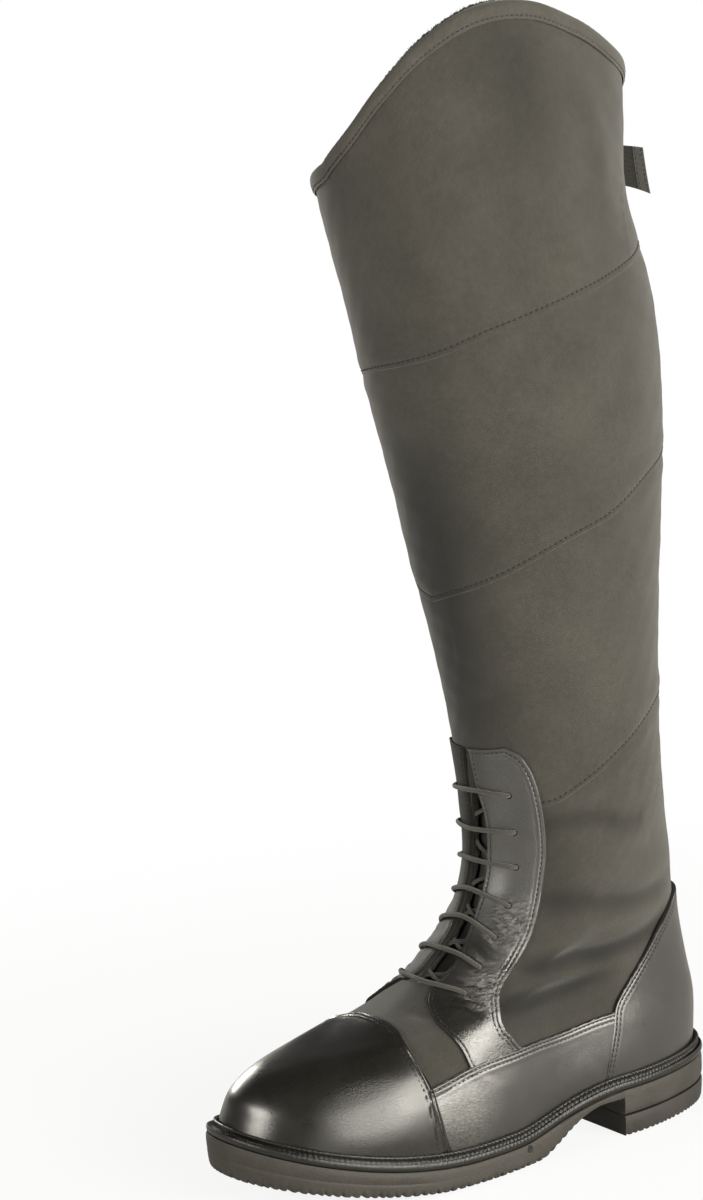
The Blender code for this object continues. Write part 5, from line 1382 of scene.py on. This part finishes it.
def teeth(run_l, pitch=4.1, share=0.40, depth=1.55):
    """Cuts round the tread's edge: depth at each place along it, uneven as moulded ones wear."""
    phase = np.mod(run_l / pitch + 0.16 * np.sin(run_l * 0.23) + 0.07 * np.sin(run_l * 0.91), 1.0)
    cut = 1 / (1 + np.exp(-(share / 2 - np.abs(phase - 0.5)) * 34))
    return depth * cut * (0.68 + 0.22 * np.sin(run_l * 0.71) + 0.10 * np.sin(run_l * 2.3))


def bottom_height(y):
    return sole_bottom(y - HEEL_BACK_Y)


def top_height(y):
    return welt_top(y - HEEL_BACK_Y) + TOP_H


def grow_by(d):
    return lambda u: edge(u, SOLE_OUT) + d


def faint_line(d):
    """A faint line along the forefoot, fading to nothing at the waist and heel."""
    return lambda u: edge(u, SOLE_OUT) + 0.06 + (d - 0.06) * (1 - smooth((np.minimum(u, 1 - u) - 0.20) / 0.06))


step = 0.62
half = stations(step, breast=True)
half_xy = foot_plan(half, SOLE_OUT)
b_i = int(np.argmin(np.abs(half_xy[:, 1] - (BREAST_Y + 0.06))))


def level_z(share, extra=0.0):
    """Height at a share of the way from tread to top; behind the breast from the top lift."""
    def z(x, y, run_l):
        n = len(y)
        heel = y > BREAST_Y
        low = np.where(heel, TOP_LIFT + 0.15, bottom_height(y))
        cut = np.where(heel, 0.0, teeth(run_l) if share == 0.0 else 0.0)
        return low + cut + (top_height(y) - low) * share + extra
    return z


def tread_z(g, gap, t):
    x, y = g[..., 0], g[..., 1]
    heel = (np.arange(g.shape[0]) >= b_i)[:, None] & np.ones_like(x, bool)
    z = np.where(heel, TOP_LIFT + 0.15, bottom_height(y))
    s = np.concatenate([[0.0], np.cumsum(np.hypot(*np.diff(half_xy, axis=0).T))])
    rim_cut = teeth(s)[:, None] * (gap < 5.0)
    lug = np.zeros_like(x)
    for k in range(11):
        y0 = -132.5 + 13.0 * k
        for sd in (-1, 1):
            xin, xout = sd * 4.0 + 2.0, sd * 64.0
            f = (x - xin) / (xout - xin)
            yy = y0 + 9.0 * f
            lug = np.maximum(lug, (f > 0) * (gap > 6.5) * (y > yy) * (y < yy + 3.2) * LUG_DEPTH)
    return z + np.where(heel, 0.0, np.maximum(rim_cut, lug))


cols = graded(96.0, 0.7, 1.9, [5.0, 6.5, 89.5, 91.0, 0.0, 96.0], 0.12)
cols[0], cols[-1] = 0.0, 1.0
outsole = sole_piece("outsole_unit", half, [
    (grow_by(-2.4), level_z(0.0)), (grow_by(-1.1), level_z(0.0, 0.55)), (grow_by(-0.45), level_z(0.0, 1.7)), (grow_by(-0.15), level_z(0.26)),
    (grow_by(0.0), level_z(0.42)), (grow_by(0.05), level_z(0.50)), (faint_line(-0.14), level_z(0.53)), (faint_line(-0.14), level_z(0.55)),
    (grow_by(0.08), level_z(0.58)), (grow_by(0.18), level_z(0.80)), (grow_by(0.05), level_z(0.93)), (grow_by(-0.45), level_z(1.0))],
    tread_z, np.linspace(0, 1, 5), cols, mat=SOLE, node="outsole")


def lift_z(share):
    def z(x, y, run_l):
        return share * (TOP_LIFT - 0.25) + (teeth(run_l, 3.6, 0.36, 1.2) if share == 0 else 0.0) + 0 * y
    return z


def lift_tread(g, gap, t):
    y = g[..., 1]
    s = np.concatenate([[0.0], np.cumsum(np.hypot(*np.diff(half_xy[b_i:], axis=0).T))])
    z = teeth(s, 3.6, 0.36, 1.2)[:, None] * (gap < 4.5)
    for k in range(4):
        y0 = BREAST_Y + 12.0 + 13.0 * k
        z = np.maximum(z, (gap > 6.0) * (y > y0) * (y < y0 + 3.0) * LUG_DEPTH)
    return z


lift_cols = graded(70.0, 0.7, 1.9, [4.5, 6.0, 64.0, 65.5, 0.0, 70.0], 0.12)
lift_cols[0], lift_cols[-1] = 0.0, 1.0
top_lift = sole_piece("heel_top_lift", half, [
    (grow_by(-1.6), lift_z(0.0)), (grow_by(-1.1), lift_z(0.14)), (grow_by(-0.6), lift_z(0.55)), (grow_by(-0.35), lift_z(0.92)),
    (grow_by(-0.75), lift_z(1.0))], lift_tread, lift_cols, lift_cols, first=b_i, mat=LIFT, node="top_lift")

# the moulding plug on the outer side of the waist: a real shallow dish, its near-black colour painted shade for the
# recess
plug_u = 0.282
plug_us = plug_u + np.linspace(-0.02, 0.02, 41)
plug_xy = foot_plan(plug_us, edge(plug_us, SOLE_OUT) - 0.1)
(px, py), (qx, qy) = plug_xy[20], plug_xy[21]
pz = bottom_height(py) * 0.20 + top_height(py) * 0.80
t3 = np.array([qx - px, qy - py, 0.0]); t3 /= np.linalg.norm(t3)
o3 = np.array([t3[1], -t3[0], 0.0])
plug_v, plug_f = [], []
for r, o in ((1.7, -0.4), (1.7, 0.50), (1.4, 0.62), (1.1, 0.42), (0.0, 0.36)):
    if r:
        plug_v += [np.array([px, py, pz]) + o3 * o + r * (t3 * np.cos(a) + np.array([0, 0, 1.0]) * np.sin(a)) for a in np.linspace(0, 2 * pi, 25)[:-1]]
    else:
        plug_v.append(np.array([px, py, pz]) + o3 * o)
for r in range(3):
    plug_f += [[r * 24 + q, r * 24 + (q + 1) % 24, r * 24 + 24 + (q + 1) % 24, r * 24 + 24 + q] for q in range(24)]
plug_f += [[72 + q, 72 + (q + 1) % 24, 96] for q in range(24)] + [list(reversed(range(24)))]
make("sole_plug", np.array(plug_v), [plug_f], PLUG_RECESS_SHADE)

# ------------------------------------------------------------------ welt
n_w = 1150
w_half = stations(364.0 / (n_w / 2))
W = np.concatenate([w_half, 1.0 - w_half[-2:0:-1]])
wxy = foot_plan(W, WELT_OUT)
wrun = np.concatenate([[0.0], np.cumsum(np.hypot(*np.diff(wxy, axis=0).T))])
spur = np.exp(-((W - 0.5) / 0.055) ** 2)
side_share = smooth((np.minimum(W, 1 - W) - 0.16) / 0.08)
rib = np.clip(np.sin(2 * pi * wrun / 2.4) * 1.6, -1, 1) * (0.09 + 0.21 * side_share)
WELT_SECTION = ((-WALL, -3.5, 0, 0, 0), (4.6, -3.5, 0, 0, 0), (5.3, -3.35, 1.5, 0, 0), (5.55, -2.7, 1.6, 0, 0), (5.6, -1.6, 1.7, 0, 0.2),
                (5.45, -0.8, 1.8, 0.5, 0.4), (5.15, -0.3, 1.8, 0.8, 0.5), (4.75, -0.25, 1.7, 0.9, 0.3), (4.35, -0.95, 1.7, 0.6, 0),
                (3.75, -1.15, 1.7, 0.6, 0), (3.55, -0.3, 2.2, 1.0, 0.7), (3.40, 0.5, 2.2, 1.2, 1.0), (3.40, 1.2, 2.2, 1.3, 1.0),
                (3.62, 1.75, 2.1, 1.4, 1.0), (3.74, 2.25, 2.0, 1.5, 0.9), (3.62, 2.75, 1.8, 1.6, 0.5), (3.25, 3.08, 1.6, 1.6, 0.3), (2.85, 3.10, 1.4, 1.6, 0.2), (2.45, 2.9, 0.9, 1.3, 0),
                (2.25, 2.2, 0.6, 0.6, 0), (2.2, -0.9, 0, 0, 0), (-WALL, -0.9, 0, 0, 0))
sections = []
for out, up, s_out, s_up, r in WELT_SECTION:
    grow = (edge(W, out) if out > 4.0 else out + 0 * W) + s_out * spur + r * rib
    xy = foot_plan(W, grow)
    sections.append(np.column_stack([xy, welt_top(xy[:, 1] - HEEL_BACK_Y) + up + s_up * spur + (0.15 * r * rib if r else 0)]))
welt = sweep("welt_strip", np.stack(sections, axis=1), STRIP, closed=True, node="welt")

# ------------------------------------------------------------------ insole
i_half = stations(3.2)
fleece_wave = lambda x, y: 0.35 * np.sin(x * 1.3 + 0.6 * np.sin(y * 0.9)) * np.sin(y * 1.1 + 0.5 * np.sin(x))


def insole_z(up):
    return lambda x, y, run_l: welt_top(y - HEEL_BACK_Y) - WELT_T - GAP + 0.1 + up


insole = sole_piece("fleece_insole", i_half, [
    (lambda u: -WALL - 0.5 + 0 * u, insole_z(0.0)), (lambda u: -WALL - 0.6 + 0 * u, insole_z(3.8)), (lambda u: -WALL - 1.8 + 0 * u, insole_z(INSOLE_T))],
    lambda g, gap, t: welt_top(g[..., 1] - HEEL_BACK_Y) - WELT_T - GAP + 0.1, np.linspace(0, 1, 40), np.linspace(0, 1, 6), mat=PILE, node="insole")
z_top = np.array([v.co.z for v in insole.data.vertices]) / MM
for v in insole.data.vertices:
    x, y, z = v.co.x / MM, v.co.y / MM, v.co.z / MM
    if z > float(welt_top(y - HEEL_BACK_Y)) - WELT_T - GAP + INSOLE_T - 0.5:
        v.co.z += (float(fleece_wave(x, y)) + rng.normal(0, 0.12)) * MM

# ------------------------------------------------------------------ zip
zr = np.linspace(ZIP_V0 + 0.004, ZIP_V1, 150)


def zip_strip(name, half_w, low, high, mat, node):
    c = np.linspace(-half_w, half_w, 9)
    u = ZIP_U + c[None, :] + 0 * zr[:, None]
    v = np.repeat(zr[:, None], 9, axis=1)
    o = upper_point(u, v, high)
    return plate(name, o, upper_point(u, v, low), mat, spread_uv(o), node=node)


zip_strip("zip_tape_cloth", ZIP_HALF - 0.0006, -2.4, -0.9, TAPE, "zip_tape")
tooth_ways, pitch_t = [], 1.35
length_z = (ZIP_V1 - ZIP_V0) * RUN
count_t = int(length_z / pitch_t)
for k in range(count_t):
    v = ZIP_V0 + 0.006 + (ZIP_V1 - ZIP_V0 - 0.008) * k / count_t
    s = 0.0016 if k % 2 else -0.0016
    e = np.array([[ZIP_U - 0.0050 + s, v], [ZIP_U + s, v], [ZIP_U + 0.0050 + s, v]])
    p, q = upper_point(e[:, 0], e[:, 1], 0.05), upper_point(e[:, 0], e[:, 1], 1.05)
    tooth_ways.append((p, q - p))
tv_, tf_ = stitch_mesh(tooth_ways, 3.0, 3.5, 0.52)
coil = make("zip_coil_teeth", tv_, [tf_], NYLON, angle=70, node="zip_coil")
zip_ways = []
for side in (-1, 1):
    v = np.linspace(ZIP_V0 + 0.005, 0.982, 300)
    u = np.full(300, ZIP_U + side * (ZIP_HALF + 3.2 / 330))
    zip_ways.append(np.stack([u, v], 1)[::4])
stitches("zip_stitches", zip_ways, 0.55, THREAD, pitch=2.7, length=2.0, radius=0.28)
for node in ("zip_slider", "zip_pull", "zip_stop"):
    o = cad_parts[node]
    for s in o.material_slots:
        s.material = STEEL
    b = o.modifiers.new("rounding", "BEVEL")
    b.width, b.segments, b.limit_method = 0.00022, 2, "ANGLE"

# ------------------------------------------------------------------ tab over the top of the zip
TAB_DIRECTION = np.array([0.60, 0.80, 0.0])


def tab_grid(k_rows, lift_low, lift_high, reach=(0.0, 1.0), inset_v=0.0):
    rows_n, rows_f = [], []
    for v in np.linspace(TAB_V[0] + inset_v, TAB_V[1] - inset_v, k_rows):
        us = np.linspace(TAB_ROOT_U, TAB_LEAVE_U, 14)
        near = upper_point(us, np.full(14, v), GAP + 0.5)
        thick = upper_point(us, np.full(14, v), GAP + 0.5 + TAB_T) - near
        lean = upper_point(np.array([0.5]), np.array([v + 0.01]))[0] - upper_point(np.array([0.5]), np.array([v]))[0]
        across = np.cross(TAB_DIRECTION, lean)
        across *= np.sign(across[0] * -1) / np.linalg.norm(across) * TAB_T
        bend = near[-1] + TAB_DIRECTION * 3.0 + (near[-1] - near[-2]) * 1.4
        hang = (TAB_V[1] - v) / (TAB_V[1] - TAB_V[0])
        k = np.linspace(0, 1, 26)[:, None]
        free = bend + TAB_DIRECTION * (TAB_FREE * (0.91 + 0.09 * hang)) * k - np.array([0, 0, 3.0 + 4.2 * hang]) * k * k
        base = np.vstack([near, free])
        out = np.vstack([thick, np.repeat(across[None], 26, 0)])
        for _ in range(3):                              # soften the turn where it leaves the shaft
            out[1:-1] = 0.25 * out[:-2] + 0.5 * out[1:-1] + 0.25 * out[2:]
            base[12:18] = 0.25 * base[11:17] + 0.5 * base[12:18] + 0.25 * base[13:19]
        s = np.linspace(0, 1, len(base))
        pick = (s >= reach[0]) & (s <= reach[1])
        rows_n.append((base + out * lift_low)[pick])
        rows_f.append((base + out * lift_high)[pick])
    return np.array(rows_n), np.array(rows_f)


near_g, far_g = tab_grid(25, 0.12, 0.88)
tab = plate("tab_strap", far_g, near_g, WEB, spread_uv(far_g), step=(1, 1), node="top_tab", angle=50)
near_g, far_g = tab_grid(25, 0.0, 1.0, reach=(0.86, 1.0))
hem = plate("tab_hem", far_g, near_g, HEM, spread_uv(far_g), step=(1, 1), angle=50)
root_n, root_f = tab_grid(25, 0.0, 1.0, reach=(0.0, 0.16))
base_hem = plate("tab_root", root_f, root_n, HEM, spread_uv(root_f), step=(1, 1), angle=50)
ways = []
for g, s in ((far_g, 1.0), (near_g, -1.0)):
    for col in (1, 4):
        p = g[:, min(col, g.shape[1] - 1)]
        n = (far_g - near_g)[:, min(col, g.shape[1] - 1)] * s
        ways.append((p, n))
for col in (2,):
    ways.append((root_f[:, col], (root_f - root_n)[:, col]))
sv, sf = stitch_mesh(ways, 2.3, 1.7, 0.26)
make("tab_stitches", sv, [sf], THREAD_LIGHT, angle=70)

# ------------------------------------------------------------------ floor, light and camera
def disc(radius, n=96, rings=24):
    verts, faces = [(0.0, 0.0, 0.0)], []
    for r in range(1, rings + 1):
        rr = radius * (r / rings) ** 2
        verts += [(rr * np.cos(2 * pi * q / n), rr * np.sin(2 * pi * q / n), 0.0) for q in range(n)]
    faces += [[0, 1 + q, 1 + (q + 1) % n] for q in range(n)]
    for r in range(rings - 1):
        a = 1 + r * n
        faces += [[a + q, a + n + q, a + n + (q + 1) % n, a + (q + 1) % n] for q in range(n)]
    mesh = bpy.data.meshes.new("floor")
    mesh.from_pydata(verts, [], faces)
    mesh.shade_smooth()
    return mesh


floor = bpy.data.objects.new("floor", disc(14.0))
bpy.context.scene.collection.objects.link(floor)
f = Net("pale_floor", 0.9, Specular_IOR_Level=0.1)
where = f.node("ShaderNodeTexCoord").outputs["Object"]
far = f.node("ShaderNodeVectorMath", {0: where}, operation="LENGTH").outputs["Value"]
soft = f.noise(f.place((1.0, 1.0, 1.0)), 0.8, 3.0)
f.finish(f.ramp(soft, (0.3, (0.90, 0.90, 0.895)), (0.7, (0.93, 0.93, 0.925))))
glow = f.node("ShaderNodeEmission", {"Color": (1.0, 1.0, 1.0, 1.0), "Strength": 1.0})
blend = f.node("ShaderNodeMixShader", {0: f.range(far, 0.20, 0.8, 0.86, 1.0)})
f.tree.links.new(f.shader.outputs[0], blend.inputs[1])
f.tree.links.new(glow.outputs[0], blend.inputs[2])
matt = f.node("ShaderNodeBsdfDiffuse", {"Color": (0.74, 0.73, 0.71, 1.0)})
seen = f.node("ShaderNodeLightPath").outputs["Is Camera Ray"]
both = f.node("ShaderNodeMixShader", {0: seen})
f.tree.links.new(matt.outputs[0], both.inputs[1])
f.tree.links.new(blend.outputs[0], both.inputs[2])
f.tree.links.new(both.outputs[0], f.tree.nodes["Material Output"].inputs["Surface"])
floor.data.materials.append(f.mat)

world = bpy.data.worlds.new("studio")
bpy.context.scene.world = world
world.use_nodes = True
wt = world.node_tree
bg = wt.nodes["Background"]
bg.inputs["Color"].default_value = (1.0, 1.0, 1.0, 1.0)
bg.inputs["Strength"].default_value = 0.08
white = wt.nodes.new("ShaderNodeBackground")
white.inputs["Color"].default_value = (1.0, 1.0, 1.0, 1.0)
white.inputs["Strength"].default_value = 1.0
path = wt.nodes.new("ShaderNodeLightPath")
mixw = wt.nodes.new("ShaderNodeMixShader")
wt.links.new(path.outputs["Is Camera Ray"], mixw.inputs[0])
wt.links.new(bg.outputs[0], mixw.inputs[1])
wt.links.new(white.outputs[0], mixw.inputs[2])
wt.links.new(mixw.outputs[0], wt.nodes["World Output"].inputs["Surface"])

RIGHT, UPWARD, TOWARD = (Vector(x) for x in ((0.50120, 0.86194, -0.07649), (-0.06336, 0.12470, 0.99017), (0.86301, -0.49143, 0.11711)))


def softbox(name, at, aim, width, height, power, colour=(1.0, 1.0, 1.0)):
    """Soft area light.  at and aim: right, toward the camera, up, in metres from the boot's foot."""
    data = bpy.data.lights.new(name, "AREA")
    data.shape, data.size, data.size_y, data.energy, data.color = "ELLIPSE" if width < 0.8 else "RECTANGLE", width, height, power, colour
    obj = bpy.data.objects.new(name, data)
    bpy.context.scene.collection.objects.link(obj)
    flat_r, flat_t = Vector((RIGHT.x, RIGHT.y, 0)).normalized(), Vector((TOWARD.x, TOWARD.y, 0)).normalized()
    spot = lambda p: flat_r * p[0] + flat_t * p[1] + Vector((0, 0, p[2]))
    obj.location = spot(at)
    obj.rotation_euler = (spot(aim) - obj.location).to_track_quat("-Z", "Y").to_euler()
    return obj


WARM = (1.0, 0.965, 0.88)
softbox("front_box", (1.12, 1.14, 0.49), (0.0, 0.0, 0.24), 2.05, 0.90, 68.0, WARM)
softbox("left_box", (-1.18, 0.70, 0.57), (-0.05, 0.0, 0.12), 0.79, 0.34, 12.0, WARM)
softbox("back_box", (-0.78, -1.35, 0.385), (0.0, 0.0, 0.06), 0.66, 0.31, 10.5, WARM)
softbox("right_box", (1.6, -0.7, 0.7), (0.0, 0.0, 0.25), 0.8, 0.9, 6.0, WARM)

cam_data = bpy.data.cameras.new("camera")
cam_data.sensor_fit = "AUTO"
cam_data.sensor_width = 36.0
cam_data.lens = 81.17
cam_data.clip_start, cam_data.clip_end = 0.02, 60.0
cam = bpy.data.objects.new("camera", cam_data)
bpy.context.scene.collection.objects.link(cam)
m = Matrix.Identity(4)
for c, axis in enumerate((RIGHT, UPWARD, TOWARD)):
    for r in range(3):
        m[r][c] = axis[r]
cam.matrix_world = Matrix.Translation(Vector((1.08222, -0.66136, 0.41642))) @ m
bpy.context.scene.camera = cam
bpy.context.scene.view_settings.view_transform = "Standard"
bpy.context.scene.view_settings.look = "None"

bpy.context.view_layer.update()
